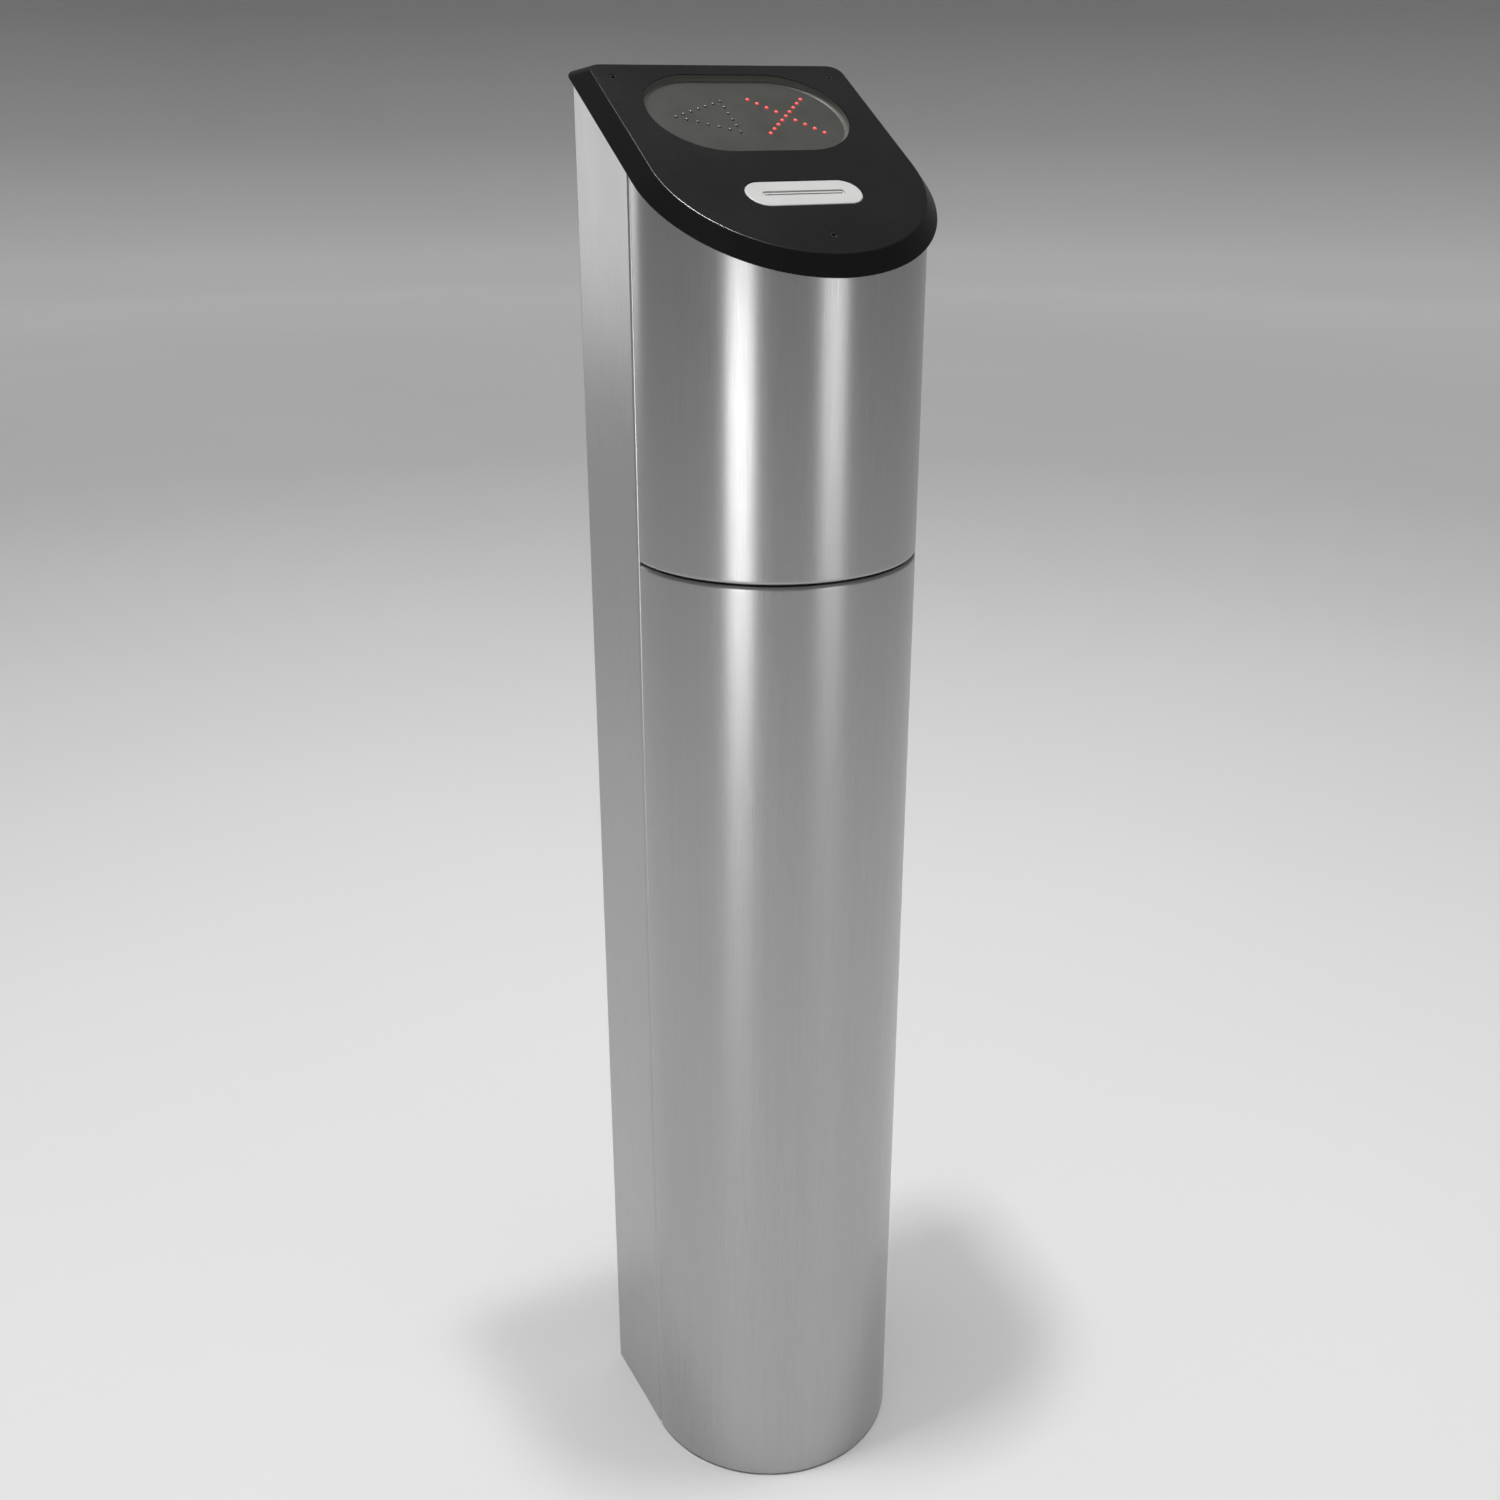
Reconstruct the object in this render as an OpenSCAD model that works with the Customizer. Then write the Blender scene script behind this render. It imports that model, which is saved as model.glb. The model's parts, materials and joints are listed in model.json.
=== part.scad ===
// Reader and display post for a visitor lane, millimetres, +Z up.
// The origin is the centre of the four floor anchors, at floor level.
// The front is half round and faces -Y; the sides and the back are flat.

/* [Housing] */
// Width of the post, which is the diameter of its half-round front
body_w = 200; // [190:1:240]
// Depth of the flat sides behind the centre of the half-round front
flat_d = 94.5; // [92:0.5:120]
// Height of the sloping top above the centre of the half-round front
seat_h = 1000; // [900:5:1200]
// Slope of the top, in degrees
slope = 30.5; // [25:0.5:34]
// Height of the seam between the two front covers
split_h = 750; // [640:5:780]
// Sheet thickness of the housing and the covers
sheet = 1.5; // [1:0.1:2]
// Outer radius of the folded edges
fold_r = 2.4; // [2.1:0.1:2.6]
// Width of the folded flanges
flange_w = 14; // [13:0.5:16]
// Width of the seams between the sheets
seam_gap = 1; // [0.6:0.1:1.4]
// Gap between the lower front cover and the floor
foot_gap = 1.5; // [1:0.5:3]

/* [Base and frame] */
// Thickness of the base plate
base_t = 6; // [5:1:10]
// Spacing of the floor anchors, left to right
anchor_dx = 100; // [90:1:104]
// Spacing of the floor anchors, front to back
anchor_dy = 100; // [90:1:104]
// Radius of the anchor holes
anchor_r = 5.5; // [4.5:0.5:6]
// Radius of the cable entry in the base plate
entry_r = 22; // [18:1:24]
// Distance from the anchors' centre back to the cable entry
entry_y = 15; // [10:1:20]
// Width of an upright
upright_w = 20; // [18:1:24]
// Depth of an upright
upright_d = 28; // [24:1:30]
// Distance from the anchors' centre back to the uprights' front faces
upright_y = 44; // [42:1:45]
// Wall of an upright
upright_t = 2; // [1.5:0.5:3]
// Thickness of the top deck
deck_t = 3; // [2.5:0.5:4]
// Clearance of the frame inside the sheets
frame_gap = 2; // [1:0.5:3]

/* [Cap] */
// Thickness of the cap
cap_t = 10.3; // [9.5:0.1:12.4]
// Overhang of the cap at each side
cap_over = 3.5; // [2:0.5:6]
// Overhang of the cap at its nose, along the slope
nose_over = 0.9; // [0.5:0.1:3]
// Overhang of the cap at the back, along the slope
back_over = 5.6; // [3:0.1:8]
// Thickness of the cap's top wall
cap_wall = 3.3; // [3:0.1:4]
// Width of the cap's rim around its hollow underside
rim_w = 14; // [13:0.5:15]
// Corner radius of the cap's top face at the back
corner_r = 0.5; // [0.3:0.1:1]
// Thickness of the gasket under the cap
gasket_t = 2; // [1.5:0.5:3]

/* [Display] */
// Width of the display window
disp_w = 143.5; // [130:0.5:150]
// Height of the display window, along the slope
disp_h = 90; // [80:1:92]
// Distance from the cap's back edge down the slope to the window's centre
disp_down = 67.1; // [66:0.1:69]
// Depth of the window's floor below the cap's top face
recess = 4.6; // [4.4:0.1:5]
// Diameter of one light
led_d = 3; // [2.5:0.1:3.2]
// Spacing of the cross's lights, sideways and along the slope
cross_pitch = 5; // [4.5:0.1:5.5]
// Distance of the cross's centre from the middle of the window
cross_u = 29.6; // [26:0.1:34]
// Spacing of the lights in the arrow's base
arrow_pitch = 7.2; // [6:0.1:7.5]
// Length of the arrow, from its tip to its base
arrow_l = 39; // [34:0.5:40]
// Distance of the arrow's tip from the middle of the window
arrow_u = 50.4; // [48:0.1:52]
// Distance of the lights' centre line above the window's centre
led_rise = 2; // [0:0.1:3]

/* [Card slot] */
// Width of the bezel
pill_w = 81.8; // [78:0.1:86]
// Height of the bezel, along the slope
pill_h = 26; // [24:0.5:28]
// Distance from the half-round's centre down the slope to the card slot
slot_down = 43; // [42:0.1:44]
// Width of the slot's mouth
mouth_w = 57.8; // [56:0.1:60]
// Height of the slot's mouth
mouth_h = 4.4; // [4:0.1:5]
// Depth of the slot's mouth
mouth_d = 1.8; // [1.5:0.1:2]
// Width of a card
card_w = 54; // [53:0.5:55]
// Thickness of the card path
path_t = 1.2; // [1:0.1:1.4]

/* [Reader] */
// Distance between the reader's side plates
reader_w = 80; // [78:1:96]
// Depth of the reader below the cap's seat
reader_d = 62; // [60:1:70]
// Radius of the drive tyres
drive_r = 7; // [6.5:0.1:7.2]
// Radius of the idler tyres
idler_r = 5; // [4.6:0.1:5.2]
// Radius of the reader's shafts
shaft_r = 2; // [1.8:0.1:2.4]
// Running clearance of a shaft in its bush
run_gap = 0.04; // [0.02:0.01:0.08]
// Teeth of the drive gear, twice those of the motor pinion
gear_teeth = 24; // [20:4:28]
// Gear module
gear_m = 1; // [0.9:0.1:1]

/* [Hidden] */
$fn = 64;
far = 600;                              // larger than any cut needs
tall = seat_h + flat_d;                 // higher than any point of the post

// Housing and covers
body_r = body_w/2;
inner_r = body_r - sheet;
cover_y = fold_r;                       // back edge of the covers
housing_y = cover_y + seam_gap;         // front edge of the housing
flange_x = body_r - flange_w;           // inner edge of the folded flanges
flange_mid = body_r - (flange_w + sheet)/2 - 0.5;
lip_w = 10;                             // width of the folded lips at the seam
top_gap = 0.4;                          // from the sheets' top edges to the cap
trim_x = inner_r - frame_gap/2;         // flanges are cut away below the deck

// Fixings of the covers
screw_r = 2;
screw_zs = [split_h + 60, split_h + 160];
stud_r = 2.2;
stud_zs = [70, split_h/2, split_h - 60];
stud_gap = 0.1;
grommet_r = 4.5;
hole_gap = 0.05;

// Frame
seat_gap = 0.3;                         // between welded or laid-in pieces
base_r = flange_x - 3;                  // the lower cover's flanges pass outside this
grommet_wall = 4;
plate_t = 2;
plate_y = upright_y - plate_t;          // front face of the equipment plate
plate_z = 200;
plate_h = 480;
plate_half = inner_r - 6;
plate_screw_x = inner_r - upright_w/2 - 1;
plate_screw_zs = [plate_z + 30, plate_z + plate_h/2, plate_z + plate_h - 30];
bar_h = 30;
bar_lip = 14;
bar_zs = [70, split_h + 70];            // heights of the lower and upper crossbars
stud_y = flat_d - 25;                   // earth stud

// Equipment on the plate
psu = [97, 38, 129];
psu_z = plate_z + 25;
rail = [150, 7.5, 35];
rail_z = psu_z + psu[2] + 45;
rail_t = 1;
terminal = [6, 38, 46];
terminals = 12;
board = [120, 1.6, 140];
board_z = rail_z + rail[2] + 30;
pillar_l = 8;
pillar_inset = 6;

// Sloping planes, measured from the plane on which the cap's rim lies
deck_top = -gasket_t;
deck_low = deck_top - deck_t;
cap_under = cap_t - cap_wall;
rim_r = body_r + cap_over;
cap_v = rim_r - nose_over - body_r/cos(slope);  // centre of the cap's half-round
cap_back = flat_d/cos(slope) + back_over;
cap_screws_uv = [[-80, cap_back - 25.3], [80, cap_back - 25.3], [0, cap_v - rim_r + 29.7]];
cap_screw_r = 1.5;
cap_screw_l = 22;
cap_boss_r = 6;

// Display
disp_v = cap_back - disp_down;
tray_wall = 1.2;
tray_floor = 1.5;
tray_lip = 4;
fit_gap = 0.1;
floor_top = cap_t - recess;
floor_low = floor_top - tray_floor;
board_top = floor_low - 1.4;
display_board_t = 1.6;
display_inset = 7;                      // board's edge inside the window's
pillars_uv = [for (u = [-55, 55], v = [-16, 16]) [u, disp_v + v]];
led_v = disp_v + led_rise;
led_top = floor_top + 1.3;
cross_steps = 4;                        // lights from the centre to an arm's end
arrow_steps = 6;                        // spacings along a slanted side
base_steps = 5;                         // spacings along the arrow's base
cross_uv = concat(
    [for (k = [-cross_steps:cross_steps]) [cross_u + k*cross_pitch, led_v + k*cross_pitch]],
    [for (k = [-cross_steps:cross_steps]) if (k != 0)
        [cross_u + k*cross_pitch, led_v - k*cross_pitch]]);
arrow_half = arrow_pitch*base_steps/2;
arrow_uv = concat(
    [for (k = [0:base_steps]) [arrow_l - arrow_u, led_v - arrow_half + k*arrow_pitch]],
    [for (k = [0:arrow_steps - 1], s = [-1, 1]) if (k > 0 || s > 0)
        [k*arrow_l/arrow_steps - arrow_u, led_v + s*k*arrow_half/arrow_steps]]);

// Card slot and reader
slot_v = -slot_down;
side_t = 2;
side_in = reader_w/2;
side_out = side_in + side_t;
reader_v = [slot_v - 17, slot_v + 29];  // front and back edges of the side plates
lid_t = 1.8;                            // reader's top plate
lid_low = 3.4;
lid_half = side_out + 14;
lid_top = lid_low + lid_t;
reader_screw_u = lid_half - 6;
reader_screws_uv = [for (u = [-reader_screw_u, reader_screw_u], v = [-14, 14]) [u, slot_v + v]];
guide_t = 1.5;
guide_top = -8;
guide_low = 4 - reader_d;
roll_n = -30;                           // height of the roller shafts
roll_gap = 0.3;
drive_v = slot_v + roll_gap/2 + drive_r;
idler_v = slot_v - roll_gap/2 - idler_r;
tyre_w = 10;
tyre_u = 14;                            // middle of a tyre
window = [tyre_w + 2, 13];
bush_r = 4;
bush_lip = 5;
shaft_end = side_out + 1.5;
gear_u = side_out + 2.5;
gear_w = 4;
pinion_teeth = gear_teeth/2;
pressure = 25;
addendum = 0.8*gear_m;
dedendum = 1.05*gear_m;
tooth_slack = 0.12;
gear_dist = gear_m*(gear_teeth + pinion_teeth)/2 + 0.1;
mesh_angle = -60;                       // direction from the drive shaft to the motor
motor_v = drive_v + gear_dist*cos(mesh_angle);
motor_n = roll_n + gear_dist*sin(mesh_angle);
motor_r = 10;
motor_l = 28;
motor_shaft_r = 1.5;
head = [10, 6, 8];
head_n = -50;
reader_board_t = 1.6;
spacer_l = 2;
reader_board_v = [reader_v[0] + 3, reader_v[1] - 3];
reader_board_n = [8 - reader_d, -6];
spacers_vn = [for (v = [reader_board_v[0] + 4, reader_board_v[1] - 4],
                   n = [reader_board_n[0] + 4, reader_board_n[1] - 4]) [v, n]];
throat_d = 0.8;                         // thickness left under the slot's mouth
flap_n = cap_t - mouth_d - throat_d;    // ceiling of the pocket that holds the flap
flap_l = 8;
flap_t = 1;
flap_half = card_w/2 + 1.5;
flap_gap = 0.3;
pin_r = 0.8;
pin_half = flap_half + 7;
hinge_v = slot_v + flap_l/2 + 0.5;
hinge_n = flap_n - flap_gap - pin_r;

// Places children on the sloping plane: u sideways, v up the slope, n out of it
module on_slope(v = 0, n = 0, u = 0) {
    translate([0, 0, seat_h]) rotate([slope, 0, 0]) translate([u, v, n]) children();
}

// Turns a shape drawn in X and Y to lie in v and n, with its height along u
module along_u(v, n, u) {
    on_slope(v, n, u) rotate([90, 0, 90]) children();
}

// Everything above the sloping plane at height n
module above_slope(n) {
    on_slope(0, n) translate([-far/2, -far/2, 0]) cube(far);
}

// A rod along Y
module rod_y(radius, length) {
    rotate([-90, 0, 0]) cylinder(h = length, r = radius);
}

module ring(outer, inner, height) {
    difference() {
        cylinder(h = height, r = outer);
        translate([0, 0, -1]) cylinder(h = height + 2, r = inner);
    }
}

module stadium(w, h) {
    square([w - h, h], center = true);
    for (s = [-1, 1]) translate([s*(w - h)/2, 0]) circle(h/2);
}

module half_round(radius) {
    intersection() {
        circle(radius);
        translate([-radius, -radius]) square([2*radius, radius]);
    }
}

// Rectangle from y0 to y1 with rounded corners
module folded_box(half, y0, y1, radius) {
    translate([-half, y0 + radius]) square([2*half, y1 - y0 - 2*radius]);
    translate([radius - half, y0]) square([2*(half - radius), y1 - y0]);
    for (s = [-1, 1], y = [y0 + radius, y1 - radius])
        translate([s*(half - radius), y]) circle(radius);
}

module housing_outline() {
    difference() {
        folded_box(body_r, housing_y, flat_d, fold_r);
        folded_box(inner_r, housing_y + sheet, flat_d - sheet, fold_r - sheet);
        translate([-flange_x, housing_y - 1]) square([2*flange_x, sheet + 2]);
    }
}

// Half round with a short folded edge behind it
module cover_face(radius, fold) {
    half_round(radius);
    translate([fold - radius, 0]) square([2*(radius - fold), fold]);
    for (s = [-1, 1]) translate([s*(radius - fold), 0]) circle(fold);
}

module cover_outline() {
    difference() {
        cover_face(body_r, fold_r);
        cover_face(inner_r, fold_r - sheet);
        translate([-flange_x, -1]) square([2*flange_x, fold_r + 2]);
    }
}

// The folded lip along a cover's edge at the seam; its outer face is at height 0
module seam_lip() {
    rotate([0, 0, 180]) rotate_extrude(angle = 180) {
        translate([body_r - lip_w, -sheet]) square([lip_w - fold_r, sheet]);
        translate([body_r - fold_r, -fold_r]) intersection() {
            difference() {
                circle(fold_r);
                circle(fold_r - sheet);
            }
            square(fold_r);
        }
    }
}

// A cover's wall between two heights, with a gap for its lip left at low_lip or high_lip
module cover_wall(z0, z1, low_lip, high_lip) {
    translate([0, 0, z0 + low_lip]) linear_extrude(height = z1 - z0 - low_lip - high_lip)
        cover_outline();
    translate([0, 0, z0]) linear_extrude(height = z1 - z0) intersection() {
        cover_outline();
        translate([-body_r, 0]) square([2*body_r, fold_r]);
    }
}

// Cuts the flanges off below the deck
module flange_trim() {
    intersection() {
        above_slope(deck_low - seat_gap);
        translate([-trim_x, -0.01, 0]) cube([2*trim_x, housing_y + sheet + 0.02, tall]);
    }
}

module base_plate() {
    color("dimgray") difference() {
        linear_extrude(height = base_t) difference() {
            union() {
                half_round(base_r);
                translate([-base_r, 0]) square([2*base_r, flat_d/2]);
                translate([seat_gap - inner_r, housing_y + sheet + seat_gap])
                    square([2*(inner_r - seat_gap),
                        flat_d - housing_y - 2*(sheet + seat_gap)]);
            }
            translate([0, entry_y]) circle(entry_r);
        }
        for (x = [-anchor_dx/2, anchor_dx/2], y = [-anchor_dy/2, anchor_dy/2])
            translate([x, y, -1]) cylinder(h = base_t + 2, r = anchor_r);
    }
}

module floor_grommet() {
    color("black") translate([0, entry_y, 0]) {
        translate([0, 0, 0.5]) ring(entry_r - hole_gap, entry_r - grommet_wall, base_t);
        translate([0, 0, base_t]) ring(entry_r + 3, entry_r - grommet_wall, 2.5);
    }
}

module earth_stud() {
    color("gold") translate([0, stud_y, base_t]) {
        cylinder(h = 22, r = 3);
        cylinder(h = 5, r = 5.5, $fn = 6);
        translate([0, 0, 9]) cylinder(h = 5, r = 5.5, $fn = 6);
    }
}

// Channel, open towards the middle of the post
module right_upright() {
    color("silver") difference() {
        translate([inner_r - upright_w, upright_y, base_t])
            cube([upright_w, upright_d, tall]);
        translate([inner_r - upright_w - 1, upright_y + upright_t, 0])
            cube([upright_w - upright_t + 1, upright_d - 2*upright_t, tall + base_t]);
        above_slope(deck_low);
        for (z = plate_screw_zs) translate([plate_screw_x, upright_y - 1, z])
            rod_y(screw_r + hole_gap, upright_t + 2);
    }
}

module left_upright() {
    mirror([1, 0, 0]) right_upright();
}

module crossbar(z) {
    color("silver") {
        translate([-plate_half, plate_y, z]) cube([2*plate_half, plate_t, bar_h]);
        translate([-inner_r + upright_w + 1, plate_y, z])
            cube([2*(inner_r - upright_w - 1), bar_lip, plate_t]);
    }
}

module lower_crossbar() {
    crossbar(bar_zs[0]);
}

module upper_crossbar() {
    crossbar(bar_zs[1]);
}

module top_deck() {
    color("silver") difference() {
        intersection() {
            linear_extrude(height = tall) {
                half_round(inner_r - frame_gap);
                translate([frame_gap - inner_r, 0])
                    square([2*(inner_r - frame_gap), flat_d - sheet - frame_gap]);
            }
            on_slope(0, deck_low) translate([-far/2, -far/2, 0]) cube([far, far, deck_t]);
        }
        on_slope((reader_v[0] + reader_v[1])/2, deck_low)
            cube([2*(gear_u + gear_w + 3), reader_v[1] - reader_v[0] + 6, far], center = true);
        on_slope(disp_v, deck_low - 1) cylinder(h = deck_t + 2, r = 12);
        for (p = cap_screws_uv) on_slope(p[1], deck_low - 1, p[0])
            cylinder(h = deck_t + 2, r = 3.5 + hole_gap);
    }
}

module deck_inserts() {
    color("goldenrod") for (p = cap_screws_uv) on_slope(p[1], 0, p[0]) {
        translate([0, 0, deck_low - 9]) ring(3.5, cap_screw_r + fit_gap, 9 + deck_t);
        translate([0, 0, deck_low - 1]) ring(4.8, 3, 1);
    }
}

module rear_housing() {
    color("silver") difference() {
        linear_extrude(height = tall) housing_outline();
        above_slope(-top_gap);
        flange_trim();
        for (s = [-1, 1], z = screw_zs) translate([s*flange_mid, 0, z])
            rod_y(screw_r + hole_gap, 3*fold_r);
        for (s = [-1, 1], z = stud_zs) translate([s*flange_mid, 0, z])
            rod_y(grommet_r + hole_gap, 3*fold_r);
    }
}

module upper_front_cover() {
    color("silver") difference() {
        union() {
            cover_wall(split_h + seam_gap/2, tall, fold_r, 0);
            translate([0, 0, split_h + seam_gap/2]) mirror([0, 0, 1]) seam_lip();
        }
        above_slope(-top_gap);
        flange_trim();
        for (s = [-1, 1], z = screw_zs) translate([s*flange_mid, -1, z])
            rod_y(screw_r + hole_gap, 3*fold_r);
    }
}

module lower_front_cover() {
    color("silver") difference() {
        union() {
            cover_wall(foot_gap, split_h - seam_gap/2, 0, fold_r);
            translate([0, 0, split_h - seam_gap/2]) seam_lip();
        }
        for (s = [-1, 1], z = stud_zs) translate([s*flange_mid, -1, z])
            rod_y(stud_r, 3*fold_r);
    }
}

// Screws with their nuts, holding the upper cover's flanges to the housing's
module cover_screws() {
    color("silver") for (s = [-1, 1], z = screw_zs) translate([s*flange_mid, 0, z]) {
        translate([0, cover_y - sheet - 2.2, 0]) rod_y(3.6, 2.2);
        translate([0, cover_y - sheet - 1, 0]) rod_y(screw_r, 11);
        translate([0, housing_y + sheet, 0]) rod_y(3.6, 3);
    }
}

module cover_spacers() {
    color("silver") for (s = [-1, 1], z = screw_zs) translate([s*flange_mid, cover_y, z])
        rotate([-90, 0, 0]) ring(4, screw_r + hole_gap, seam_gap);
}

// Push-in studs on the lower cover's flanges
module cover_studs() {
    color("silver") for (s = [-1, 1], z = stud_zs) translate([s*flange_mid, 0, z]) {
        translate([0, cover_y - sheet - 1, 0]) rod_y(4, 1);
        translate([0, cover_y - sheet, 0]) rod_y(stud_r, 10);
        translate([0, cover_y - sheet + 10, 0]) sphere(stud_r);
    }
}

module stud_grommets() {
    color("black") for (s = [-1, 1], z = stud_zs) translate([s*flange_mid, 0, z]) {
        translate([0, housing_y, 0]) rotate([-90, 0, 0])
            ring(grommet_r, stud_r + stud_gap, sheet + 4);
        translate([0, housing_y + sheet, 0]) rotate([-90, 0, 0])
            ring(grommet_r + 0.8, stud_r + stud_gap, 1.5);
    }
}

module equipment_plate() {
    color("gainsboro") difference() {
        translate([-plate_half, plate_y, plate_z]) cube([2*plate_half, plate_t, plate_h]);
        for (s = [-1, 1], z = plate_screw_zs) translate([s*plate_screw_x, plate_y - 1, z])
            rod_y(screw_r + hole_gap, plate_t + 2);
    }
}

module plate_screws() {
    color("silver") for (s = [-1, 1], z = plate_screw_zs)
        translate([s*plate_screw_x, plate_y, z]) {
            translate([0, -2.2, 0]) rod_y(3.6, 2.2);
            rod_y(screw_r, plate_t + upright_t + 5);
            translate([0, plate_t + upright_t, 0]) rod_y(3.6, 3);
        }
}

module power_supply() {
    color("lightgray") difference() {
        translate([-psu[0]/2, plate_y - psu[1], psu_z]) cube(psu);
        translate([-psu[0]/2 + 2, plate_y - psu[1] - 1, psu_z + psu[2] - 18])
            cube([psu[0] - 4, 15, 19]);
        for (k = [0:8]) translate([k*9 - 37, plate_y - psu[1] - 1, psu_z + 15])
            cube([3, 2, psu[2] - 45]);
    }
}

module mounting_rail() {
    color("silver") translate([-rail[0]/2, plate_y - rail[1], rail_z]) difference() {
        cube(rail);
        translate([-1, -1, 6]) cube([rail[0] + 2, rail[1], rail[2] - 12]);
        for (z = [-1, rail[2] - 5]) translate([-1, rail_t, z])
            cube([rail[0] + 2, rail[1], 6]);
    }
}

module terminals() {
    color("lightgray") for (k = [0:terminals - 1])
        translate([(k - terminals/2)*(terminal[0] + 0.2), plate_y - rail[1] - terminal[1],
                rail_z + (rail[2] - terminal[2])/2])
            difference() {
                cube(terminal);
                for (z = [8, terminal[2] - 8]) translate([terminal[0]/2, -1, z]) rod_y(1.8, 5);
            }
}

module controller_board() {
    color("darkgreen") difference() {
        translate([-board[0]/2, plate_y - pillar_l - board[1], board_z]) cube(board);
        for (s = [-1, 1], z = [pillar_inset, board[2] - pillar_inset])
            translate([s*(board[0]/2 - pillar_inset), plate_y - far/4, board_z + z])
                rod_y(1.6, far/2);
    }
}

// Block on the controller board, with its lower left corner at x and z
module board_block(x, z, size) {
    translate([x - board[0]/2, plate_y - pillar_l - board[1] - size[1], board_z + z])
        cube(size);
}

module controller_parts() {
    color("dimgray") {
        board_block(42, 62, [28, 2.5, 28]);
        board_block(78, 70, [14, 2, 10]);
        board_block(20, 14, [60, 9, 11]);
        board_block(22, 116, [46, 9, 11]);
        board_block(86, 112, [16, 13, 21]);
        board_block(14, 40, [12, 14, 12]);
        board_block(14, 60, [12, 14, 12]);
        board_block(92, 34, [10, 6, 22]);
    }
}

module board_pillars() {
    color("goldenrod") for (s = [-1, 1], z = [pillar_inset, board[2] - pillar_inset])
        translate([s*(board[0]/2 - pillar_inset), plate_y - pillar_l - board[1] - 2, board_z + z]) {
            rod_y(2.8, 2);
            rod_y(1.5, 2 + board[1]);
            translate([0, 2 + board[1], 0]) rod_y(3, pillar_l);
        }
}

module cap_gasket() {
    color("black") on_slope(0, deck_top) linear_extrude(height = gasket_t - 0.2) difference() {
        cap_outline(rim_w - 4.5);
        cap_outline(rim_w - 1.5);
    }
}

// Outline of the cap on its sloping plane, moved inwards by inset
module cap_outline(inset) {
    translate([0, cap_v]) half_round(rim_r - inset);
    translate([inset - rim_r, cap_v]) square([2*(rim_r - inset), cap_back - inset - cap_v]);
}

// Slab with a 45 degree chamfer all round, as tall as the chamfer is wide
module cap_slab() {
    round_r = cap_t + corner_r;
    translate([0, cap_v, 0]) cylinder(h = cap_t, r1 = rim_r, r2 = rim_r - cap_t);
    translate([0, cap_back - round_r, 0]) rotate([90, 0, 0])
        linear_extrude(height = cap_back - round_r - cap_v)
            polygon([[-rim_r, 0], [rim_r, 0], [rim_r - cap_t, cap_t], [cap_t - rim_r, cap_t]]);
    translate([round_r - rim_r, 0, 0]) rotate([90, 0, 90])
        linear_extrude(height = 2*(rim_r - round_r))
            polygon([[cap_v, 0], [cap_back, 0], [cap_back - cap_t, cap_t], [cap_v, cap_t]]);
    for (s = [-1, 1]) translate([s*(rim_r - round_r), cap_back - round_r, 0])
        cylinder(h = cap_t, r1 = round_r, r2 = corner_r);
}

module top_cover() {
    color([0.12, 0.12, 0.12]) on_slope() difference() {
        union() {
            difference() {
                cap_slab();
                translate([0, 0, -1]) linear_extrude(height = cap_under + 1) cap_outline(rim_w);
            }
            for (p = cap_screws_uv) translate([p[0], p[1], deck_top + seat_gap])
                cylinder(h = cap_t - 1 - deck_top - seat_gap, r = cap_boss_r);
            for (p = reader_screws_uv) translate([p[0], p[1], lid_top])
                cylinder(h = cap_t - 1 - lid_top, r = 3.5);
        }
        translate([0, disp_v, -1]) linear_extrude(height = 2*cap_t) stadium(disp_w, disp_h);
        translate([0, slot_v, -1]) linear_extrude(height = 2*cap_t) stadium(pill_w, pill_h);
        for (p = cap_screws_uv) translate([p[0], p[1], 0]) {
            translate([0, 0, deck_top - 1]) cylinder(h = 2*cap_t, r = cap_screw_r + fit_gap);
            translate([0, 0, cap_t - 1.6]) cylinder(h = 1.61, r1 = cap_screw_r + fit_gap,
                r2 = cap_screw_r + fit_gap + 1.6);
        }
        for (p = reader_screws_uv) translate([p[0], p[1], lid_top - 1])
            cylinder(h = cap_t - lid_top - 0.3, r = cap_screw_r + hole_gap);
    }
}

// Countersunk screws with hexagon sockets
module cap_screws() {
    color("black") for (p = cap_screws_uv) on_slope(p[1], 0, p[0]) difference() {
        union() {
            translate([0, 0, cap_t - cap_screw_l]) cylinder(h = cap_screw_l - 1.6, r = cap_screw_r);
            translate([0, 0, cap_t - 1.6]) cylinder(h = 1.4, r1 = cap_screw_r, r2 = cap_screw_r + 1.4);
        }
        translate([0, 0, cap_t - 1.4]) cylinder(h = 2, r = 1.15, $fn = 6);
    }
}

// Sunk tray of the display, with holes for the lights in its floor
module display_window() {
    color("dimgray") on_slope(disp_v) difference() {
        union() {
            translate([0, 0, floor_low]) linear_extrude(height = cap_t - 0.2 - floor_low)
                stadium(disp_w - 2*fit_gap, disp_h - 2*fit_gap);
            translate([0, 0, floor_low]) linear_extrude(height = cap_under - hole_gap - floor_low)
                stadium(disp_w + 2*tray_lip, disp_h + 2*tray_lip);
        }
        translate([0, 0, floor_top]) linear_extrude(height = cap_t)
            stadium(disp_w - 2*(fit_gap + tray_wall), disp_h - 2*(fit_gap + tray_wall));
        for (p = concat(cross_uv, arrow_uv)) translate([p[0], p[1] - disp_v, 0])
            cylinder(h = cap_t, r = led_d/2 + hole_gap);
    }
}

module display_board() {
    color("darkgreen") difference() {
        on_slope(disp_v, board_top - display_board_t)
            linear_extrude(height = display_board_t)
                stadium(disp_w - 2*display_inset, disp_h - 2*display_inset);
        for (p = pillars_uv) on_slope(p[1], -1, p[0]) cylinder(h = cap_t, r = 1.2);
    }
}

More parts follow.
